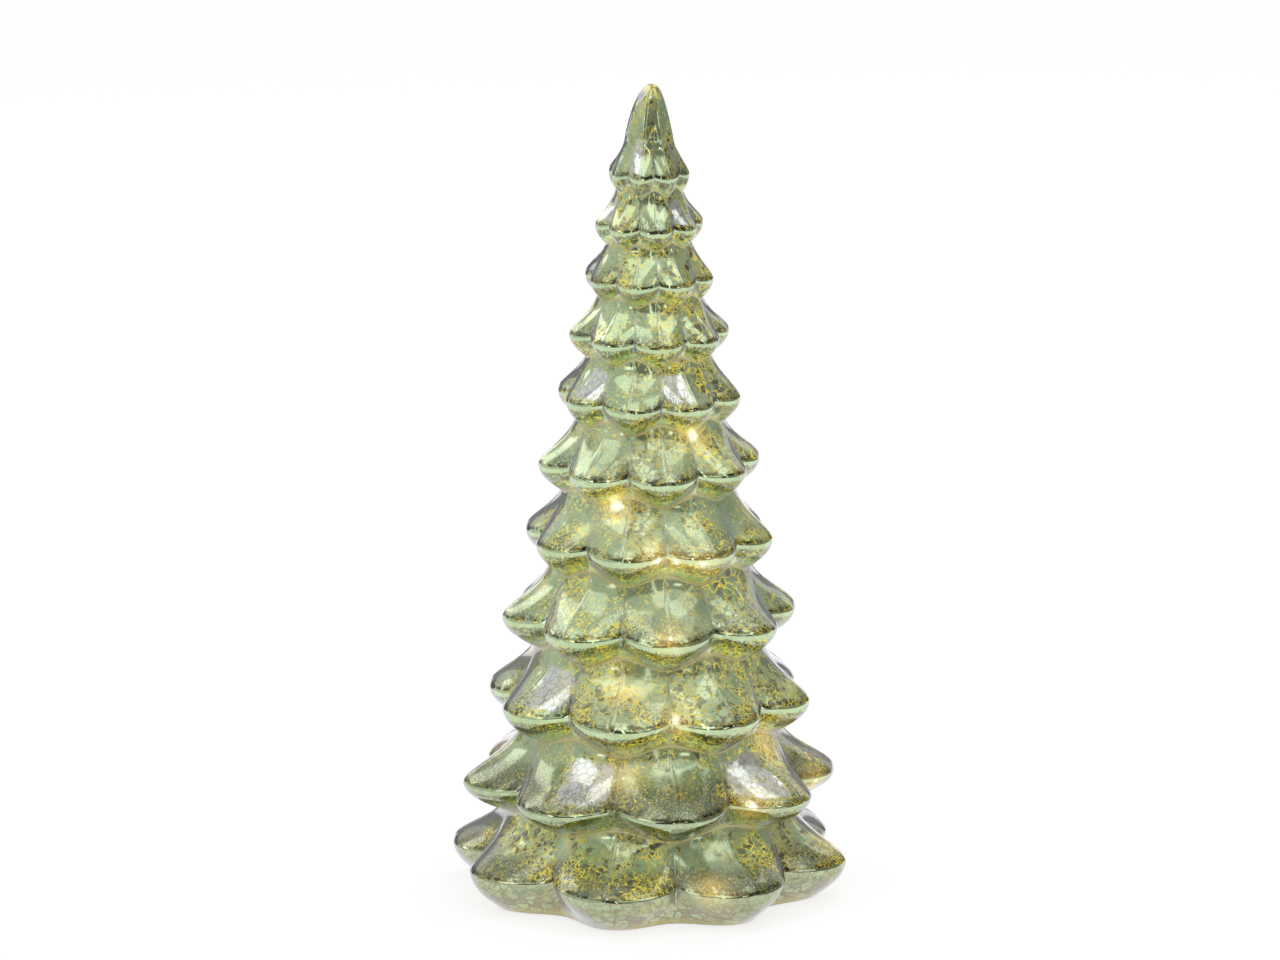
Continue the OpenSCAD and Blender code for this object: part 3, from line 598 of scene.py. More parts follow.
def press_facet(points):
    """Lays what stands past the slanted plane onto it."""
    right = np.array(view_right)
    up = np.array([0, 0, 1])
    slope = facet_high - facet_low
    normal = -slope.z * right + slope.x * up
    normal = normal + facet_turn * slope.length * np.array(direction(view_azimuth, 0))
    normal = normal / np.linalg.norm(normal)
    base = facet_low.x * right + facet_low.z * up
    proud = np.maximum((points - base) @ normal, 0)
    return points - proud[..., None] * normal


nose_shares = np.cos(np.pi / 2 * np.arange(1, nose_rows) / nose_rows)
round_nose = nose_grid(nose_shares, 0)
outer_nose = press_facet(round_nose)
facet = rise(np.linalg.norm(round_nose - outer_nose, axis=-1), 0, facet_edge)
print("nose rows:", len(nose_shares))

# %% [markdown]
# ## Relief of the lobes
# A mould leaves a fine raised rib down the middle of each lobe, and no two half-panels come out quite
# alike. These could be sculpted strokes. Here they are a height for each point, added along the normal:
# a narrow ridge on the midrib, a swell that differs from half-panel to half-panel, and slow waves.

# %% Heights and marks of the outer skin
seed = 11
rng = np.random.default_rng(seed)
rib_height = 0.3 * mm
rib_width = 0.55 * mm
swell_height = 0.25 * mm
wave_height = 0.05 * mm
wave_count = 7
wave_range = (11, 26)
groove_width = 0.9 * mm
nose_along = 0.45
rib_grows = (0.0, 0.1)
rib_fades = (0.96, 1.14)
groove_grows = (0.05, 0.2)
groove_fades = (1.2, 1.6)
crease_fades = (0.0, 0.05)
crease_grows = (1.75, 1.97)


def tier_marks(i):
    """Rib, groove and crease of tier i, from 0 to 1, its swell, and the share down the tier."""
    u = off_rib(i)[None, :]
    t = tier_shares[:, None]
    half_arc = np.pi * rim_r[i] / lobe_count * np.ones_like(t)
    rib_window = rise(t, *rib_grows) * (1 - rise(t, *rib_fades))
    rib = np.exp(-(u * half_arc / rib_width) ** 2) * rib_window
    groove_window = rise(t, *groove_grows) * (1 - rise(t, *groove_fades))
    groove = np.exp(-((1 - u) * half_arc / groove_width) ** 2) * groove_window
    top_crease = 1 - rise(t, *crease_fades) if i else 0 * t
    crease = np.maximum(top_crease, rise(t, *crease_grows)) + 0 * u
    along = np.maximum(t, nose_along if i == 0 else 0) + 0 * u
    swells = rng.uniform(-1, 1, half_lobes)[half_of_column]
    swell = swells * 4 * u * (1 - u) * np.sin(np.pi * np.clip(t, 0, 1))
    return rib, groove, crease, swell, along


def waves(points):
    """Slow unevenness of blown glass, from a few waves of seeded phase."""
    height = np.zeros(points.shape[:-1])
    for _ in range(wave_count):
        way = rng.normal(size=3)
        way = way / np.linalg.norm(way)
        length = rng.uniform(*wave_range) * mm
        height += np.sin(2 * np.pi * (points @ way) / length + rng.uniform(0, 2 * np.pi))
    return height / math.sqrt(wave_count)


marks = [tier_marks(i) for i in range(tier_count)]
nose_marks = [np.full(outer_nose.shape[:2], value) for value in (0, 0, 0, 0, nose_along)]
rib, groove, crease, swell, along = (np.concatenate(rows) for rows in zip(nose_marks, *marks))
smooth_skin = np.concatenate([outer_nose] + [tier_grid(i, tier_shares) for i in range(tier_count)])
print("outer skin rows:", len(smooth_skin))

# %% Raise the relief along the normals


def grid_normals(grid):
    """Outward normals of a grid of rows from the tip down and columns round."""
    down = np.gradient(grid, axis=0)
    around = np.roll(grid, -1, axis=1) - np.roll(grid, 1, axis=1)
    normals = np.cross(down, around)
    return normals / np.linalg.norm(normals, axis=-1, keepdims=True)


normals = grid_normals(smooth_skin)
tier_size = (cone_r(smooth_skin[..., 2]) / foot_rim_r) ** 0.5
heights = rib_height * rib + swell_height * tier_size * swell * (1 - crease)
heights = tier_size * heights + wave_height * waves(smooth_skin) * (1 - crease)
outer_skin = smooth_skin + heights[..., None] * normals
print("relief from", round(heights.min() / mm, 2), "to", round(heights.max() / mm, 2), "mm")

# %% Close the shell: foot, seat on the base, and the inside
seat_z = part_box("base_gasket")[1].z
seat_margin = 1.2 * mm
opening_margin = 1.0 * mm
seat_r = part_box("base_housing")[1].x + seat_margin
opening_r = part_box("base_lid")[1].x + opening_margin
inner_shares = np.array([1.0, 0.3, 0.0])
inner_nose_shares = np.array([0.3, 0.6, 0.85])
inner_narrowing = 1.6


def inner_tier(i):
    """Inside of tier i, a wall's thickness in from the outside, from the rim up."""
    rows = np.searchsorted(tier_shares, inner_shares) + len(nose_shares) + i * len(tier_shares)
    narrowing = mix(1, inner_narrowing, inner_shares)
    rings = [tier_grid(i, np.array([t]), n) for t, n in zip(inner_shares, narrowing)]
    return np.concatenate(rings) - glass_wall * normals[rows]


seat_top_z = seat_z + glass_wall
seat_corners = [(seat_r, seat_z), (opening_r, seat_z), (opening_r, seat_top_z), (seat_r, seat_top_z)]
foot_rings = [tier_grid(last_tier, np.array([2.0])), [ring_points(r, z) for r, z in seat_corners]]
inner_tiers = [inner_tier(i) for i in reversed(range(tier_count))]
inner_nose = nose_grid(inner_nose_shares, glass_wall)
rings = np.concatenate([outer_skin, *foot_rings, *inner_tiers, inner_nose])
print("shell rings:", len(rings))

# %% Mesh of the shell


def ring_quads(ring_total, sides):
    """Quads between neighbouring rings, facing out when the rings run down the outside."""
    k = np.arange(ring_total - 1)[:, None] * sides
    s = np.arange(sides)[None, :]
    n = (s + 1) % sides
    return np.stack([k + s, k + sides + s, k + sides + n, k + n], axis=-1).reshape(-1, 4).tolist()


tip = [*(np.array([0, 0, tree_height]) + lean)]
inner_tip = [*(np.array([0, 0, tree_height - 2 * glass_wall]) + lean)]
shell_points = rings.reshape(-1, 3).tolist() + [tip, inner_tip]
tip_index = len(shell_points) - 2
last_ring = tip_index - column_count
shell_faces = ring_quads(len(rings), column_count)
for s in range(column_count):
    n = (s + 1) % column_count
    shell_faces.append((tip_index, s, n))
    shell_faces.append((tip_index + 1, last_ring + n, last_ring + s))
glass = add_mesh("glass_shell", shell_points, shell_faces)
print("glass_shell:", len(shell_points), "points,", len(shell_faces), "faces")

# %% [markdown]
# ## Where the lamps shine through
# Each lamp inside makes a warm spot where its light meets the coat. The spots could be painted on by
# hand. For the side that the photograph shows, a ray from the camera through each spot finds its place on
# the glass; on the other sides they are spread evenly from the lowest rim to the fifth from the top. The
# mesh then carries, at each point, how near a spot is. A spot is a pixel of the frame and the radius of
# its core in millimetres.

# %% Places of the glow
spot_px = [(693, 436, 2.6), (616, 506, 2.8), (658, 561, 1.9), (676, 562, 1.8), (704, 565, 1.5),
           (670, 638, 1.3), (623, 690, 1.5), (676, 720, 2.0), (764, 745, 1.2), (622, 781, 1.3),
           (753, 805, 2.1), (815, 781, 1.2), (713, 891, 1.5)]
spot_halo = 6.5 * mm
hidden_core = 1.6 * mm
hidden_spots = 18
hidden_from = 80
hidden_sweep = 200
golden_share = 0.618
hidden_top_z = rim_z[4]
shell_tree = BVHTree.FromObject(glass, bpy.context.evaluated_depsgraph_get())


def behind_pixel(px, py):
    """Place on the glass that shows at a pixel of the photograph's frame."""
    spot = aim + view_right * (px - aim_px.x) * px_size - view_up * (py - aim_px.y) * px_size
    return shell_tree.ray_cast(camera.location, (spot - camera.location).normalized())[0]


spots = [behind_pixel(px, py) for px, py, size in spot_px]
spot_core = [size * mm for px, py, size in spot_px] + [hidden_core] * hidden_spots
for k in range(hidden_spots):
    turn = math.radians(hidden_from + hidden_sweep * ((k * golden_share) % 1))
    spot_z = mix(rim_z[-1], hidden_top_z, (k + 0.5) / hidden_spots)
    way = direction(view_azimuth + turn, 0)
    spots.append(shell_tree.ray_cast(way + Vector((0, 0, spot_z)), -way)[0])
flat_points = np.array(shell_points)
core = np.zeros(len(flat_points))
halo = np.zeros(len(flat_points))
for spot, size in zip(spots, spot_core):
    reach = np.linalg.norm(flat_points - np.array(spot), axis=1)
    core = np.maximum(core, np.exp(-(reach / size) ** 2))
    halo = np.maximum(halo, np.exp(-(reach / spot_halo) ** 2))
print("lamp spots on the glass:", len(spots))

# %% [markdown]
# ## Silver patches
# On a few half-panels the silver has kept its shine and shows a window. The patches could be chosen at
# random all round; for the side in the photograph, a ray through each window finds the half-panel. Each
# half-panel also gets a mood, by which its gold and its tone differ from its neighbours'.

# %% Half-panels with silver, and the mood of each
window_px = [(605, 225), (640, 170), (683, 215), (598, 390), (690, 390), (570, 680), (605, 785), (743, 780)]
hidden_polish = 0.2
right_lean = 0.7
across_step = (0.1, 0.6)
patch_grows = (0.05, 0.3)
patch_fades = (0.7, 0.92)


def half_panel(place):
    """Tier and half-lobe on which a place of the glass lies."""
    tier = sum(place.z < neck_z(i) for i in range(1, tier_count))
    turn = (math.atan2(place.y, place.x) / (2 * math.pi) + 0.25) % 1
    return tier, int(turn * half_lobes)


polish_of = rng.uniform(0, 1, (tier_count, half_lobes)) < hidden_polish
half_azimuth = 2 * np.pi * (np.arange(half_lobes) + 0.5) / half_lobes - view_azimuth
polish_of[:, np.cos(half_azimuth) > 0] = False
for px, py in window_px:
    polish_of[half_panel(behind_pixel(px, py))] = True
mood_of = rng.uniform(-1, 1, (tier_count, half_lobes)) + right_lean * np.sin(half_azimuth)


def spread_out(values):
    """A value for each half-panel, laid on all points of the outer skin; the nose gets 0."""
    tiers = [np.repeat(row[half_of_column][None], len(tier_shares), axis=0) for row in values]
    return np.concatenate([np.zeros(outer_nose.shape[:2])] + tiers)


tier_rows = [np.repeat(off_rib(i)[None], len(tier_shares), axis=0) for i in range(tier_count)]
across = np.concatenate([np.zeros(outer_nose.shape[:2])] + tier_rows)
inside = rise(4 * across * (1 - across), *across_step)
inside = inside * rise(along, *patch_grows) * (1 - rise(along, *patch_fades))
polish = spread_out(polish_of.astype(float)) * inside
mood = spread_out(mood_of)
print("half-panels with silver:", int(polish_of.sum()), "of", polish_of.size)

# %% Marks on the mesh


def write_mark(name, values):
    """Stores a value for each point of the outer skin; the inside gets 0."""
    padded = np.zeros(len(glass.data.vertices), np.float32)
    padded[:values.size] = values.ravel()
    glass.data.attributes.new(name, "FLOAT", "POINT").data.foreach_set("value", padded)


skin_marks = {"rib": rib, "groove": groove, "crease": crease, "along": along, "core": core, "halo": halo,
              "polish": polish, "mood": mood, "facet": facet}
for name, values in skin_marks.items():
    write_mark(name, values)
print("greatest value of each mark:", {name: round(float(v.max()), 2) for name, v in skin_marks.items()})

# %% [markdown]
# ## Finish of the silvered glass
# The glass is tinted green and silvered inside; the silver was crackled, so light from the lamps comes
# out through a net of fine gaps. Real glass over a broken mirror would need very long renders. One shader
# under a clear coat looks much the same from outside: satin sage on most panels, a mirror on the rims,
# brighter silver in a few ragged patches, darker where the coat is worn, painted shade low on the panels
# and under the rims, a painted dark reflection along each rim, a painted highlight on ribs and grooves, a
# painted lamp glow in the creases, and an emission that follows the gaps.

# %% Colours of the glass
sage_pale = (0.65, 0.83, 0.51)
sage_deep = (0.48, 0.64, 0.37)
silver_bright = (0.90, 0.92, 0.95)
highlight_pale = (0.82, 0.89, 0.68)
ochre = (0.56, 0.49, 0.17)
vein_olive = (0.34, 0.32, 0.11)
cell_slate = (0.26, 0.31, 0.26)
cell_dark = (0.14, 0.155, 0.09)
olive_wear_and_shade = (0.14, 0.145, 0.085)
line_grey = (0.34, 0.37, 0.27)
rim_shade = (0.05, 0.055, 0.03)
edge_lilac = (0.42, 0.42, 0.49)
facet_plum = (0.19, 0.16, 0.21)
crease_glow_cream = (0.54, 0.49, 0.24)
foot_line = (0.30, 0.24, 0.15)
foot_grey = (0.31, 0.285, 0.235)
gap_gold = (0.60, 0.48, 0.02)
haze_gold = (0.34, 0.26, 0.01)
crease_gold = (0.09, 0.065, 0.005)
lamp_amber = (0.80, 0.54, 0.12)
lamp_cream = (1.0, 0.92, 0.70)
print("sage from", sage_deep, "to", sage_pale)

# %% Places on the glass, and patches of noise
silver = Finish("silvered_glass")
place = silver.point_mm()
height = silver.part(place, "Z")
mark = {name: silver.mark(name) for name in skin_marks}
down_tier = mark["along"]
in_crease = mark["crease"]
own_mood = mark["mood"]
drift_size = 3.5
drift_reach = 2.6
noise_middle = 0.5
drift = silver.noise(place, drift_size, output="Color")
drift = silver.joined("SUBTRACT", drift, (noise_middle, noise_middle, noise_middle))
point = silver.joined("ADD", place, silver.scaled(drift, drift_reach))


def patches(start, away, size, detail=3.0):
    """Noise of one size in millimetres, read away from where the other layers read theirs."""
    return silver.noise(silver.joined("ADD", start, away), size, detail)


def speckle(size, detail=3.0):
    """Noise on the drifting point, from about -0.5 to 0.5."""
    return silver.noise(point, size, detail) - noise_middle


print("marks that the shader reads:", list(mark))

# %% Silver patches, rims, and ribs and grooves with a painted highlight
tear_depth = 1.1
rag_depth = 0.16
rim_starts = (0.95, 0.99)
rim_ends = (1.10, 1.15)
quiet_share = 0.8
torn = patches(place, (19, 62, 8), size=4.5, detail=4.0) - noise_middle
silvery = mark["polish"] + tear_depth * torn * mark["polish"].rise(low=0.0, high=0.2)
silvery = silvery.rise(low=0.25, high=0.6)
ragged = down_tier + rag_depth * speckle(size=1.6)
rim_band = down_tier.rise(*rim_starts) * ragged.fall(*rim_ends) * (1 - in_crease)
# Ribs and grooves carry a pale painted highlight; there and on the rim band the patterns are quieter.
painted_highlight_lines = mark["rib"].top(mark["groove"])
quiet = rim_band.top(painted_highlight_lines) * quiet_share
print("nodes for patches and rims:", len(silver.tree.nodes))

# %% [markdown]
# ### Gold and crackle
# Lamp light shows as clouds of gold, as hair veins and as a net of cracks round small cells. The cracks
# could be drawn as lines. A Voronoi texture breaks a surface into cells as evenly as the coat broke, so
# its cell borders are the cracks here, in a fine and a wide size that change over in patches.

# %% Golden haze, veins and net
middle_z = 135.0
middle_reach = (35.0, 70.0)
upper_tiers = (120.0, 200.0)
under_starts = (1.05, 1.2)
gilt_mood = 0.08
zone_mood = 0.12
middle_pull = 0.025
under_pull = 0.12
middle_cells = 0.35


def crackle(start, size, thin, thick):
    """Lines between cells of one size, and a random tone for each cell."""
    edge = silver.cells(start, size, "DISTANCE_TO_EDGE") * size
    tone = silver.node("ShaderNodeRGBToBW", {}, {0: silver.cells(start, size, "F1", "Color")})
    return edge.fall(thin, thick), tone


def veins(start, size, thick):
    """Hair lines that wander where a noise passes its middle value."""
    return silver.noise(start, size, detail=4.0).near(noise_middle, thick / 4, thick)


def either(share, first, second):
    """Value that goes from first to second as share goes from 0 to 1."""
    return silver.node("ShaderNodeMix", {}, {0: share, 2: first, 3: second})


mid_tiers = height.near(middle_z, *middle_reach)
gilt = (patches(place, (13, 40, 7), size=8.0, detail=2.0) - gilt_mood * own_mood).rise(low=0.38, high=0.62)
haze = (silver.noise(point, size=1.2, detail=5.0) + middle_pull * mid_tiers).rise(low=0.54, high=0.62)
haze = haze * gilt * (1 - quiet) * (1 - 0.5 * silvery)
high_under = down_tier.rise(*under_starts) * height.rise(*upper_tiers)
zone = patches(place, (71, 3, 29), size=12.0) + zone_mood * own_mood + under_pull * high_under
zone = zone.rise(low=0.44, high=0.56) * (1 - quiet) * (1 - 0.8 * silvery)
vein_area = patches(place, (44, 17, 83), size=9.0).rise(low=0.46, high=0.60) * (1 - quiet)
other_point = silver.joined("ADD", point, (31, 8, 5))
vein = veins(point, size=3.2, thick=0.014).top(veins(other_point, size=2.0, thick=0.018))
vein = vein * vein_area * (1 - 0.6 * silvery)
fine_line, fine_tone = crackle(point, size=1.5, thin=0.06, thick=0.20)
wide_line, wide_tone = crackle(point, size=3.0, thin=0.09, thick=0.30)
wide_share = patches(place, (9, 55, 2), size=9.0, detail=1.0).rise(low=0.46, high=0.56)
line = either(wide_share, fine_line, wide_line)
tone = either(wide_share, fine_tone, wide_tone)
net = line * zone
gap = net * patches(point, (3, 12, 50), size=2.4).rise(low=0.40, high=0.54)
cell = tone.rise(low=0.56, high=0.66) * zone * (1 - net) * (1 - middle_cells * mid_tiers)
print("nodes with gold and crackle:", len(silver.tree.nodes))

# %% [markdown]
# ### Worn silver and painted shade
# The coat is brushed thin in upright streaks low on the panels and under the rims, most of all on the two
# lowest tiers; the same streaks are painted shade, darker low on each panel and under each rim. Along the
# top of each rim a dark line and a ragged dark band are a painted dark reflection. Streaks could be strokes
# of a brush; here a noise that is drawn out along the height gives them, and bands down each tier say
# where they are.

# %% Streaks with painted shade, painted rim reflection and foot
low_tier_z = 46.0
low_tier_reach = (9.0, 16.0)
foot_tier_z = 17.0
foot_tier_reach = (3.0, 9.0)
panel_ends = (0.95, 0.98)
streaks_grow = (0.30, 0.85)
low_streaks_grow = (0.22, 0.62)
under_grows = (1.10, 1.17)
under_fades = (1.45, 1.65)
low_under_grows = (1.08, 1.15)
low_under_fades = (1.8, 1.95)
rim_dark_grows = (0.82, 0.88)
rim_dark_fades = (0.935, 0.955)
rim_line_grows = (0.895, 0.925)
rim_line_fades = (0.95, 0.965)
faded_line_tiers = (170.0, 240.0)
foot_ends = (6.0, 15.0)
foot_rim_ends = (30.0, 55.0)
streak_stretch = 0.16
foot_stretch = 1.5
streak_noise = silver.noise(silver.stretched(point, z=streak_stretch), size=0.55)
streak_patch = patches(place, (5, 91, 60), size=13.0, detail=2.0).rise(low=0.44, high=0.58)
on_panel = down_tier.fall(*panel_ends)
low_tiers = height.near(low_tier_z, *low_tier_reach).top(height.near(foot_tier_z, *foot_tier_reach))
# The streaks are thin coat and painted shade in one: darker low on each panel, under each rim, and most on
# the two lowest tiers.
panel_streaks = streak_noise.rise(low=0.42, high=0.58) * ragged.rise(*streaks_grow)
panel_streaks = panel_streaks * on_panel * streak_patch
low_streaks = streak_noise.rise(low=0.30, high=0.52) * ragged.rise(*low_streaks_grow)
low_streaks = low_streaks * on_panel * low_tiers * (1 - 0.7 * silvery)
under_band = ragged.rise(*under_grows) * ragged.fall(*under_fades)
tier_under = ragged.rise(*low_under_grows) * ragged.fall(*low_under_fades) * low_tiers
under_rim_shade = streak_noise.rise(low=0.30, high=0.55) * under_band.top(tier_under)
streaks_and_shade = panel_streaks.top(under_rim_shade).top(low_streaks)
rim_patch = patches(place, (2, 66, 18), size=5.0, detail=2.0).rise(low=0.36, high=0.52)
# Painted dark reflection: a ragged dark band, in patches, just above each rim.
painted_rim_shade = ragged.rise(*rim_dark_grows) * down_tier.fall(*rim_dark_fades)
painted_rim_shade = painted_rim_shade * rim_patch * tone.rise(low=0.30, high=0.45)
# Painted dark reflection: a thin dark line along the top of each rim roll, broken in places and fainter on
# the upper tiers.
rim_line_breaks = patches(place, (28, 3, 77), size=2.5).rise(low=0.46, high=0.56)
painted_rim_line = down_tier.rise(*rim_line_grows) * down_tier.fall(*rim_line_fades) * rim_line_breaks
painted_rim_line = painted_rim_line * (1 - 0.55 * height.rise(*faded_line_tiers))
specks = silver.noise(point, size=0.8, detail=4.0).rise(low=0.60, high=0.68) * (1 - quiet) * (1 - silvery)
foot = height.fall(*foot_ends).top(0.6 * rim_band * height.fall(*foot_rim_ends))
foot_net, foot_tone = crackle(silver.stretched(point, z=foot_stretch), size=4.0, thin=0.12, thick=0.46)
print("nodes with wear:", len(silver.tree.nodes))

# %% [markdown]
# ### Colour and light
# Each layer is a mask between 0 and 1, and the colour is painted as a decorator would do it: the ground
# first, then one layer over the other, each with its strength. The light is painted the same way, from
# the faint haze up to the lamps themselves.

# %% Colour, layer by layer
patch_mood = 0.09
upper_pull = 0.1
upper_rise = (170.0, 230.0)
tip_rise = (296.0, 298.5)
tip_rag = 4.0
above_foot = 1 - foot
turned = silver.turned()
edge = turned.rise(low=0.56, high=0.82).top(mark["groove"] * turned.rise(low=0.15, high=0.5))
tip_gold = (height + tip_rag * speckle(size=2.0)).rise(*tip_rise)
cell_colour = silver.blend(tone.rise(low=0.6, high=0.8), cell_slate, cell_dark)
foot_tone_share = 0.5 + 0.4 * foot_tone.rise(low=0.35, high=0.65)
patch = silver.noise(place, size=10.0, detail=2.0) + patch_mood * own_mood
patch = (patch - upper_pull * height.rise(*upper_rise)).rise(low=0.36, high=0.64)
colour = silver.blend(patch, sage_deep, sage_pale)
for mask, strength, paint in [
    (silvery, 0.85, silver_bright),
    (silvery * wide_line, 0.5, line_grey),
    # painted highlight: pale lines on the ribs and grooves
    (painted_highlight_lines, 0.6, highlight_pale),
    # painted shade: the rim band is darkened where it mirrors the bright floor
    (rim_band, 0.5, sage_deep),
    (line * above_foot, 0.22, line_grey),
    (haze * above_foot, 0.45, ochre),
    (vein * above_foot, 0.8, ochre),
    (net * above_foot, 0.85, vein_olive),
    (cell * above_foot, 1.0, cell_colour),
    # wear streaks that also carry painted shade low on the panels and under the rims
    (streaks_and_shade * above_foot, 0.85, olive_wear_and_shade),
    # painted dark reflection: a ragged band above each rim
    (painted_rim_shade, 0.85, olive_wear_and_shade),
    # painted dark reflection: a dark line along each rim
    (painted_rim_line, 0.9, rim_shade),
    (specks, 0.5, olive_wear_and_shade),
    (foot * foot_tone_share, 1.0, foot_grey),
    (foot * foot_net, 0.9, foot_line),
    # painted lamp glow: a cream band in the creases at the necks
    (in_crease, 0.7, crease_glow_cream),
    (edge, 0.9, edge_lilac),
    (mark["facet"], 0.85, facet_plum),
    (tip_gold, 0.8, ochre),
]:
    colour = silver.blend(mask * strength, colour, paint)
print("nodes with colour:", len(silver.tree.nodes))

# %% Light of the lamps
lit = patches(place, (5, 90, 31), size=26.0, detail=2.0).rise(low=0.36, high=0.62)
inner_light = (0.3 + 0.7 * lit) * (1 - edge) * (1 - 0.8 * foot) * (1 - 0.6 * tier_under)
spread = mark["halo"] * (0.45 + 0.55 * haze.top(net).top(vein))
broken_core = (mark["core"] + 0.6 * speckle(size=1.2)).rise(low=0.25, high=0.95)
light = silver.tint(haze_gold, (haze * 0.8).top(vein) * inner_light)
for mask, strength, glow in [
    (gap.top(line * haze) * inner_light, 1.0, gap_gold),
    (in_crease * (0.4 + 0.6 * lit), 1.0, crease_gold),
    (spread, 0.8, lamp_amber),
    (broken_core, 1.0, lamp_cream),
]:
    light = silver.blend(mask * strength, light, glow)
print("nodes with light:", len(silver.tree.nodes))

# %% Satin panels, mirror rims and the whole finish
satin_ends = (0.86, 0.92)
mirror_tiers = (150.0, 230.0)
ripple_depth = 0.04 * mm
dull = haze.top(streaks_and_shade).top(net)
slow_ripple = silver.noise(place, size=6.0, detail=1.0)
fine_ripple = silver.noise(point, size=1.8, detail=2.0)
ripple = slow_ripple + (0.3 + 1.3 * silvery) * fine_ripple
satin = (1 - 0.4 * silvery) * down_tier.fall(*satin_ends) * (1 - 0.4 * height.rise(*mirror_tiers))
glass.data.materials.append(silver.surface({
    "Base Color": colour,
    "Metallic": 1 - 0.6 * satin - 0.2 * net.top(edge).top(in_crease),
    "Roughness": 0.04 + 0.05 * dull + 0.08 * satin,
    "Coat Weight": 0.5 + 0.3 * silvery,
    "Coat Roughness": 0.03,
    "Emission Color": light,
    "Emission Strength": 1.0,
    "Normal": silver.relief(ripple, ripple_depth),
}))
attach(glass, "tree")
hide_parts("glass_tree")
print("glass finish:", len(silver.tree.nodes), "nodes")

# %% [markdown]
# ## Lamp wire, springs and leads
# Inside, a wire carries the lamps up the post. On a real tree it is two thin enamelled wires twisted
# together, with springs of bare steel wire at the cells and two insulated leads to the board. A bevelled
# curve object could draw them. Here a ring of points is swept along a path, because the same sweep then
# also twists two strands about each other. The routes are those of the construction, in millimetres.

# %% Paths with rounded bends
path_step = 0.5 * mm
any_way = (0.3, 0.5, 0.81)


def rounded_path(points, bend, steps=6):
    """The route through the points, with each corner rounded off within a bend's length."""
    points = [np.array(p, float) for p in points]
    path = [points[0]]
    for before, corner, after in zip(points, points[1:], points[2:]):
        reach_in = min(bend / np.linalg.norm(corner - before), 0.5)
        reach_out = min(bend / np.linalg.norm(after - corner), 0.5)
        start = mix(corner, before, reach_in)
        end = mix(corner, after, reach_out)
        for s in np.linspace(0, 1, steps):
            path.append(mix(mix(start, corner, s), mix(corner, end, s), s))
    return np.array(path + [points[-1]])


def spaced(path, step):
    """The same path with its points at equal steps."""
    lengths = np.concatenate([[0], np.cumsum(np.linalg.norm(np.diff(path, axis=0), axis=1))])
    marks_along = np.linspace(0, lengths[-1], max(2, round(lengths[-1] / step)))
    return np.stack([np.interp(marks_along, lengths, path[:, c]) for c in range(3)], axis=-1), marks_along


def frames_along(path):
    """Two directions across the path at each point, which turn as little as they can."""
    ways = np.gradient(path, axis=0)
    ways = ways / np.linalg.norm(ways, axis=1, keepdims=True)
    side = np.cross(ways[0], any_way)
    sides = []
    for way in ways:
        side = side - way * (side @ way)
        side = side / np.linalg.norm(side)
        sides.append(side)
    sides = np.array(sides)
    return sides, np.cross(ways, sides)


corner = rounded_path([(0, 0, 0), (1, 0, 0), (1, 1, 0)], 0.5)
print("a rounded corner has", len(corner), "points")

# %% Tubes along paths


def tube_object(name, paths, radius, sides):
    """One object of round tubes, closed at both ends."""
    points = []
    faces = []
    ring = 2 * np.pi * np.arange(sides) / sides
    for path in paths:
        first = len(points)
        side, up = frames_along(path)
        rings_here = path[:, None] + radius * (np.cos(ring)[:, None] * side[:, None]
                                               + np.sin(ring)[:, None] * up[:, None])
        points += rings_here.reshape(-1, 3).tolist()
        faces += [tuple(first + v for v in reversed(quad)) for quad in ring_quads(len(path), sides)]
        faces.append(tuple(first + s for s in reversed(range(sides))))
        faces.append(tuple(len(points) - sides + s for s in range(sides)))
    made = add_mesh(name, points, faces)
    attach(made, "tree")
    return made


print("quads between two rings of eight points:", len(ring_quads(2, 8)))

# %% Twisted lamp wire on its post
strand_r = 0.3 * mm
strand_lay = 5.0 * mm
wire_fit = 0.3 * mm
wire_turns = 11
wind_margin = 7.0 * mm
wire_bend = 2.5 * mm
turn_steps = 48
strand_sides = 8
post_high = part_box("light_post")[1]
collar_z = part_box("base_lid")[1].z
post_r = post_high.x
post_top_r = 3.5 * mm
wind_start = collar_z + wind_margin
wind_end = post_high.z - wind_margin
feed_route = [(0, -24.85, 8), (0, -24.85, 9.9), (0, -24.85, 18), (0, -24.85, 21.8),
              (-2.2, -19.21, 25.4), (-4.4, -13.57, 30.68), (-3, -9.94, 34.68)]

wind_shares = np.linspace(0, 1, wire_turns * turn_steps + 1)
wind_z = mix(wind_start, wind_end, wind_shares)
wind_r = mix(post_r, post_top_r, (wind_z - collar_z) / (post_high.z - collar_z)) + wire_fit + 2 * strand_r
wind_angle = 2 * np.pi * wire_turns * wind_shares - np.pi / 2
winding = np.stack([wind_r * np.cos(wind_angle), wind_r * np.sin(wind_angle), wind_z], axis=-1)
feed = rounded_path([*(np.array(feed_route) * mm), winding[0]], wire_bend)
wire_path, wire_run = spaced(np.concatenate([feed, winding]), path_step)
wire_side, wire_up = frames_along(wire_path)
lay = 2 * np.pi * wire_run / strand_lay
offset = strand_r * (np.cos(lay)[:, None] * wire_side + np.sin(lay)[:, None] * wire_up)
lamp_string = tube_object("lamp_string", [wire_path + offset, wire_path - offset], strand_r, strand_sides)
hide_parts("led_wire")
print("lamp wire", round(wire_run[-1] / mm), "mm long")

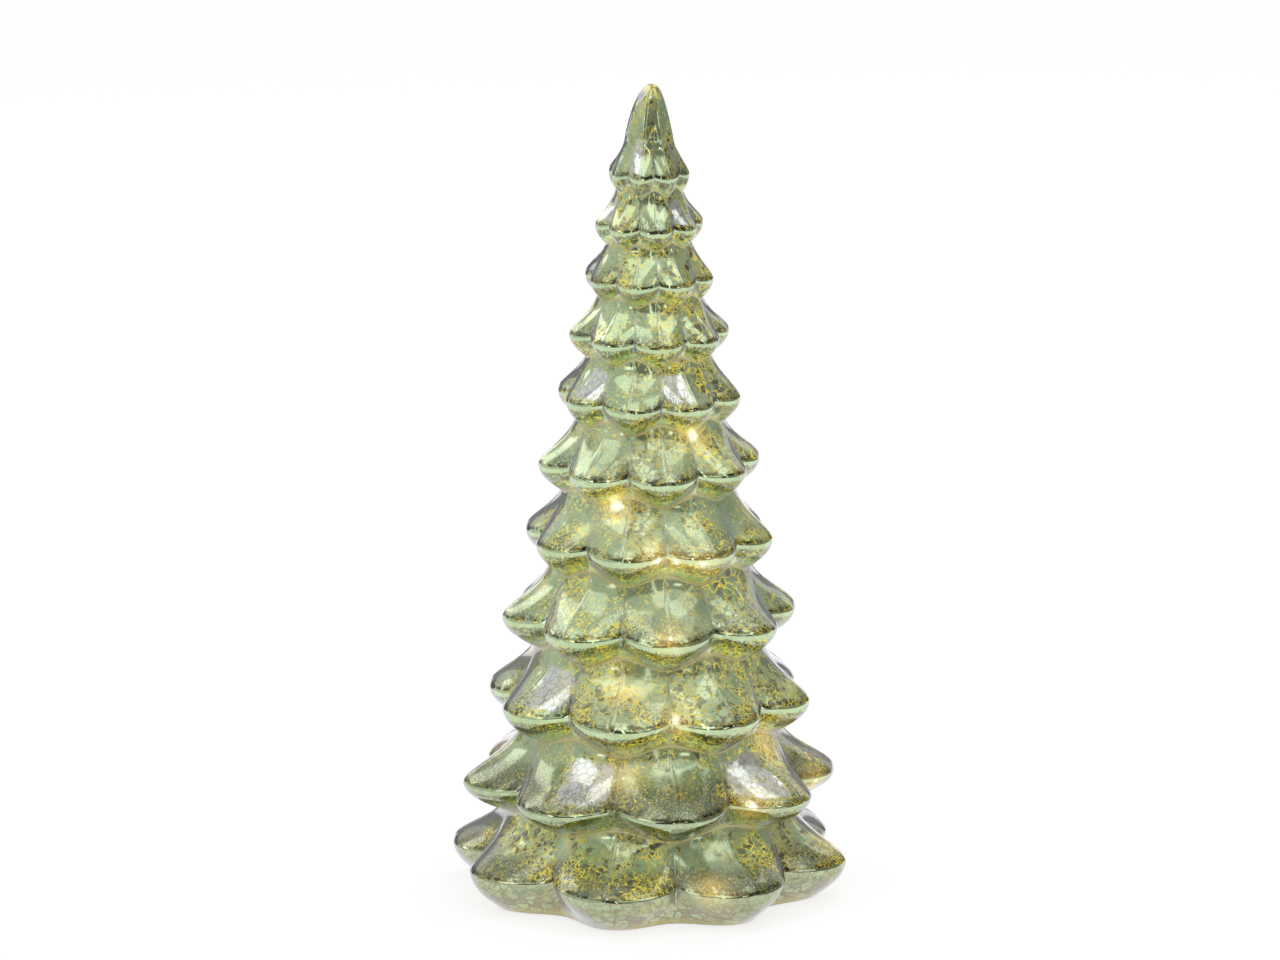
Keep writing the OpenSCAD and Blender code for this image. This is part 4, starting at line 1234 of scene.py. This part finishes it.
# %% Contact springs and leads
spring_wire_r = 0.3 * mm
spring_base_r = 3.6 * mm
spring_tip_r = 1.9 * mm
spring_curls = 3
curl_steps = 28
spring_len = 4.2 * mm
spring_sides = 10
lead_sides = 12
lead_r = 0.5 * mm
lead_bend = 2.0 * mm
positive_route = [(23.8, -11, 16.4), (21.2, -12.4, 16.4), (14.4, -16.65, 16.4), (9.1, -18.55, 16.1),
                  (7.6, -21.45, 13.8), (7.6, -21.45, 9.9), (7.6, -21.45, 8)]
negative_route = [(-23.8, 11, 16.4), (-21.4, 8.6, 16.4), (-19.4, 0, 16.4), (-16.1, -15.15, 16.4),
                  (-9.6, -18.35, 16.1), (-7.6, -21.45, 13.8), (-7.6, -21.45, 9.9), (-7.6, -21.45, 8)]


def spring_path(cell, way):
    """A conical coil on the plate behind one cell, growing along way (1 for +X, -1 for -X)."""
    low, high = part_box(cell)
    plate_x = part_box("contact_springs")[0].x if way > 0 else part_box("contact_springs")[1].x
    share = np.linspace(0, 1, spring_curls * curl_steps + 1)
    r = mix(spring_base_r, spring_tip_r, share)
    turn = 2 * np.pi * spring_curls * share
    x = plate_x + way * mix(spring_wire_r, spring_len - spring_wire_r, share)
    middle = (low + high) / 2
    return np.stack([x, middle.y + way * r * np.cos(turn), middle.z + r * np.sin(turn)], axis=-1)


cell_ways = {"battery_front": 1, "battery_middle": -1, "battery_rear": 1}
coils = [spring_path(cell, way) for cell, way in cell_ways.items()]
springs = tube_object("spring_coils", coils, spring_wire_r, spring_sides)
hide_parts("contact_springs")
leads = {}
for lead, route in (("positive_lead", positive_route), ("negative_lead", negative_route)):
    path, length = spaced(rounded_path(np.array(route) * mm, lead_bend), path_step)
    leads[lead] = tube_object(lead + "_wire", [path], lead_r, lead_sides)
    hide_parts(lead)
    print(lead, round(length[-1] / mm, 1), "mm long")

# %% [markdown]
# ## Finishes of the base
# Under the glass everything is ordinary: moulded plastic with a spark-eroded grain, plated steel, rubber.
# One flat colour each would do from far away. Near by, a moulding has a fine grain and slow changes of
# gloss, and a plated part has drawn lines and cloudy zinc, so each family of finish is a function of its
# colour, gloss and grain.

# %% Moulded, plated and insulated finishes
cloud_step = (0.35, 0.65)


def moulded(name, colour, pale, gloss, grain, coat=0.0):
    """Plastic or rubber with a fine grain of so many millimetres and slow changes of tone."""
    finish = Finish(name)
    place = finish.point_mm()
    spark = finish.noise(place, grain)
    cloud = finish.noise(place, size=14.0).rise(*cloud_step)
    scuff = finish.noise(finish.stretched(place, x=0.15), size=0.9, detail=4.0).rise(low=0.62, high=0.72)
    return finish.surface({
        "Base Color": finish.blend(0.55 * cloud + 0.3 * spark + 0.15 * scuff, colour, pale),
        "Roughness": gloss + 0.16 * (spark - noise_middle) + 0.08 * scuff,
        "Coat Weight": coat,
        "Normal": finish.relief(spark, 0.04 * mm),
    })


def plated(name, colour, dark, gloss):
    """Plated steel: drawn lines along X, cloudy plating and dull spots."""
    finish = Finish(name)
    place = finish.point_mm()
    drawn = finish.noise(finish.stretched(place, x=0.06), size=0.18)
    cloud = finish.noise(place, size=3.0).rise(*cloud_step)
    spots = finish.noise(place, size=0.5, detail=4.0).rise(low=0.60, high=0.70)
    return finish.surface({
        "Base Color": finish.blend(0.5 * cloud + 0.5 * spots, colour, dark),
        "Metallic": 1.0,
        "Roughness": gloss + 0.14 * (drawn - noise_middle) + 0.12 * spots,
        "Normal": finish.relief(drawn, 0.01 * mm),
    })


def insulated(name, colour, pale):
    """Lead insulation: extruded plastic with slow changes of tone and a faint grain."""
    finish = Finish(name)
    place = finish.point_mm()
    cloud = finish.noise(place, size=2.5)
    return finish.surface({
        "Base Color": finish.blend(0.5 * cloud.rise(low=0.4, high=0.75), colour, pale),
        "Roughness": 0.34 + 0.2 * (cloud - noise_middle),
        "Coat Weight": 0.2,
        "Normal": finish.relief(finish.noise(place, size=0.3, detail=2.0), 0.008 * mm),
    })


print("finish families: moulded, plated, insulated")

# %% Lamp string and clear post
copper_dark = (0.62, 0.30, 0.15)
copper_bright = (0.82, 0.50, 0.30)
acrylic_grey = (0.76, 0.81, 0.80)
acrylic_pale = (0.86, 0.90, 0.89)
acrylic_ior = 1.49
epoxy_amber = (0.95, 0.72, 0.36)
epoxy_cream = (1.0, 0.88, 0.60)
glow_straight = (1.0, 0.80, 0.42)
glow_turned = (0.55, 0.28, 0.06)
glow_strength = 0.9


def enamelled_copper():
    """Copper wire under clear enamel, brighter where it is worn."""
    finish = Finish("enamelled_copper")
    place = finish.point_mm()
    drawn = finish.noise(place, size=0.8)
    worn = finish.noise(place, size=5.0).rise(low=0.45, high=0.65)
    return finish.surface({
        "Base Color": finish.blend(0.6 * worn + 0.4 * drawn, copper_dark, copper_bright),
        "Metallic": 0.9,
        "Roughness": 0.24 + 0.2 * (drawn - noise_middle),
        "Coat Weight": 0.5,
    })


def clear_acrylic():
    """Clear moulding: flow lines show as slow changes of gloss."""
    finish = Finish("clear_acrylic")
    flow = finish.noise(finish.stretched(finish.point_mm(), z=0.2), size=3.0)
    return finish.surface({
        "Base Color": finish.blend(flow.rise(*cloud_step), acrylic_grey, acrylic_pale),
        "Roughness": 0.06 + 0.12 * flow,
        "Transmission Weight": 0.7,
        "IOR": acrylic_ior,
        "Normal": finish.relief(flow, 0.05 * mm),
    })


def lit_epoxy():
    """A drop of epoxy round a lamp: brightest where one looks straight in."""
    finish = Finish("lit_epoxy")
    cloud = finish.noise(finish.point_mm(), size=0.7)
    turned_share = finish.turned().rise(low=0.05, high=0.8)
    return finish.surface({
        "Base Color": finish.blend(cloud, epoxy_amber, epoxy_cream),
        "Roughness": 0.10 + 0.1 * cloud,
        "Coat Weight": 0.4,
        "Emission Color": finish.blend(turned_share, glow_straight, glow_turned),
        "Emission Strength": glow_strength,
    })


lamp_string.data.materials.append(enamelled_copper())
print("wire finish:", lamp_string.data.materials[0].name)

# %% Circuit board
mask_green = (0.02, 0.13, 0.05)
track_green = (0.05, 0.26, 0.10)
pad_tin = (0.72, 0.70, 0.64)
pad_pitch = 2.2
black = (0, 0, 0)
white = (1, 1, 1)


def board_laminate(node):
    """Solder mask over copper: straight tracks in a grid of bricks, with tinned pads."""
    finish = Finish("board_laminate")
    place = finish.point_mm()
    from_corner = finish.joined("SUBTRACT", place, tuple(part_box(node)[0] / mm))
    tracks = finish.node("ShaderNodeTexBrick", {"offset": 0.35}, {
        "Vector": from_corner, "Color1": black, "Color2": black, "Mortar": white,
        "Scale": 0.22, "Mortar Size": 0.035, "Mortar Smooth": 0.1, "Bias": 0.0}, "Fac")
    pads = finish.cells(from_corner, pad_pitch).fall(low=0.16, high=0.22)
    weave = finish.noise(place, size=0.35, detail=2.0)
    mask = finish.blend(0.7 * tracks, mask_green, track_green)
    return finish.surface({
        "Base Color": finish.blend(pads, mask, pad_tin),
        "Metallic": 0.9 * pads,
        "Roughness": 0.30 + 0.15 * (weave - noise_middle),
        "Coat Weight": 0.3,
        "Normal": finish.relief(tracks + 0.3 * weave, 0.02 * mm),
    })


board_finish = board_laminate("circuit_board")
print("board finish:", len(board_finish.node_tree.nodes), "nodes")

# %% Resistor and cells
enamel_dark = (0.50, 0.38, 0.22)
enamel_pale = (0.66, 0.54, 0.35)
ring_brown = (0.20, 0.08, 0.03)
ring_black = (0.02, 0.02, 0.02)
ring_gold = (0.52, 0.38, 0.10)
ring_paints = {0.32: ring_brown, 0.43: ring_black, 0.54: ring_brown, 0.70: ring_gold}
ring_half = (0.025, 0.035)
body_half = (0.34, 0.36)
end_tin = (0.70, 0.69, 0.66)
sleeve_dark = (0.015, 0.04, 0.03)
sleeve_green = (0.03, 0.07, 0.05)
cuff_dark = (0.52, 0.36, 0.10)
cuff_gold = (0.66, 0.48, 0.17)
bare_steel = (0.72, 0.71, 0.68)
cuff_starts = (0.66, 0.665)
jacket_starts = (0.012, 0.016)
jacket_ends = (0.958, 0.962)


def share_along(finish, place, node, way=1):
    """0 at one end of a node and 1 at the other along X; way -1 starts at the +X end."""
    low, high = (corner.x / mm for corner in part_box(node))
    start, end = (low, high) if way > 0 else (high, low)
    return (finish.part(place, "X") - start) / (end - start)


def banded_resistor(node):
    """Enamelled body with painted rings between two bare wire ends."""
    finish = Finish("banded_resistor")
    place = finish.point_mm()
    share = share_along(finish, place, node)
    colour = finish.blend(finish.noise(place, size=0.6), enamel_dark, enamel_pale)
    for middle, paint in ring_paints.items():
        colour = finish.blend(share.near(middle, *ring_half), colour, paint)
    ends = 1 - share.near(0.5, *body_half)
    return finish.surface({
        "Base Color": finish.blend(ends, colour, end_tin),
        "Metallic": ends,
        "Roughness": 0.28 + 0.2 * (finish.noise(place, size=0.4, detail=2.0) - noise_middle),
        "Coat Weight": 0.3,
    })


def cell_jacket(node, way):
    """A plain cell: bare steel ends, a gold cuff at the positive end, a dark green sleeve."""
    finish = Finish(node + "_jacket")
    place = finish.point_mm()
    share = share_along(finish, place, node, way)
    cuffed = share.rise(*cuff_starts)
    bare = share.fall(*jacket_starts).top(share.rise(*jacket_ends))
    grain = finish.noise(finish.stretched(place, y=0.2, z=0.2), size=0.4)
    sleeve = finish.blend(grain, sleeve_dark, sleeve_green)
    jacket = finish.blend(cuffed, sleeve, finish.blend(grain, cuff_dark, cuff_gold))
    return finish.surface({
        "Base Color": finish.blend(bare, jacket, bare_steel),
        "Metallic": (0.8 * cuffed).top(bare),
        "Roughness": 0.26 + 0.14 * grain,
        "Coat Weight": 0.35 * (1 - bare),
    })


jackets = {cell: cell_jacket(cell, way) for cell, way in cell_ways.items()}
print("cell jackets:", list(jackets))

# %% Dress the construction's own nodes
ivory = (0.70, 0.70, 0.66)
base_plastic = moulded("base_plastic", (0.020, 0.024, 0.020), (0.060, 0.068, 0.058), gloss=0.48, grain=0.22)
knob_plastic = moulded("knob_plastic", ivory, (0.84, 0.84, 0.80), gloss=0.36, grain=0.3, coat=0.15)
seal_silicone = moulded("seal_silicone", ivory, (0.86, 0.86, 0.82), gloss=0.42, grain=0.5, coat=0.1)
pad_rubber = moulded("pad_rubber", (0.018, 0.018, 0.018), (0.045, 0.045, 0.044), gloss=0.74, grain=0.16)
chip_resin = moulded("chip_resin", (0.014, 0.014, 0.016), (0.04, 0.04, 0.042), gloss=0.55, grain=0.12)
screw_steel = plated("screw_steel", (0.66, 0.66, 0.63), (0.46, 0.46, 0.42), gloss=0.30)
contact_steel = plated("contact_steel", (0.70, 0.69, 0.66), (0.54, 0.52, 0.48), gloss=0.26)
lead_red = insulated("lead_red", (0.42, 0.02, 0.015), (0.60, 0.06, 0.04))
lead_black = insulated("lead_black", (0.012, 0.012, 0.012), (0.05, 0.05, 0.05))
post_acrylic = clear_acrylic()
dressed = {
    "base_housing": base_plastic, "base_lid": base_plastic, "battery_door": base_plastic,
    "base_gasket": seal_silicone, "rubber_pads": pad_rubber, "switch_knob": knob_plastic,
    "lid_screws": screw_steel, "board_screws": screw_steel, "door_screw": screw_steel,
    "light_post": post_acrylic, "post_cap": post_acrylic, "led_lamps": lit_epoxy(),
    "circuit_board": board_finish, "timer_chip": chip_resin, "timer_crystal": contact_steel,
    "series_resistor": banded_resistor("series_resistor"), "switch_can": contact_steel,
    "bridge_plates": contact_steel, "terminal_plates": contact_steel, **jackets,
}
for node, material in dressed.items():
    node_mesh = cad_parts[node].data
    node_mesh.materials.clear()
    node_mesh.materials.append(material)
springs.data.materials.append(contact_steel)
leads["positive_lead"].data.materials.append(lead_red)
leads["negative_lead"].data.materials.append(lead_black)
print("dressed nodes:", len(dressed), "replaced:", len(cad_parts) - len(dressed))
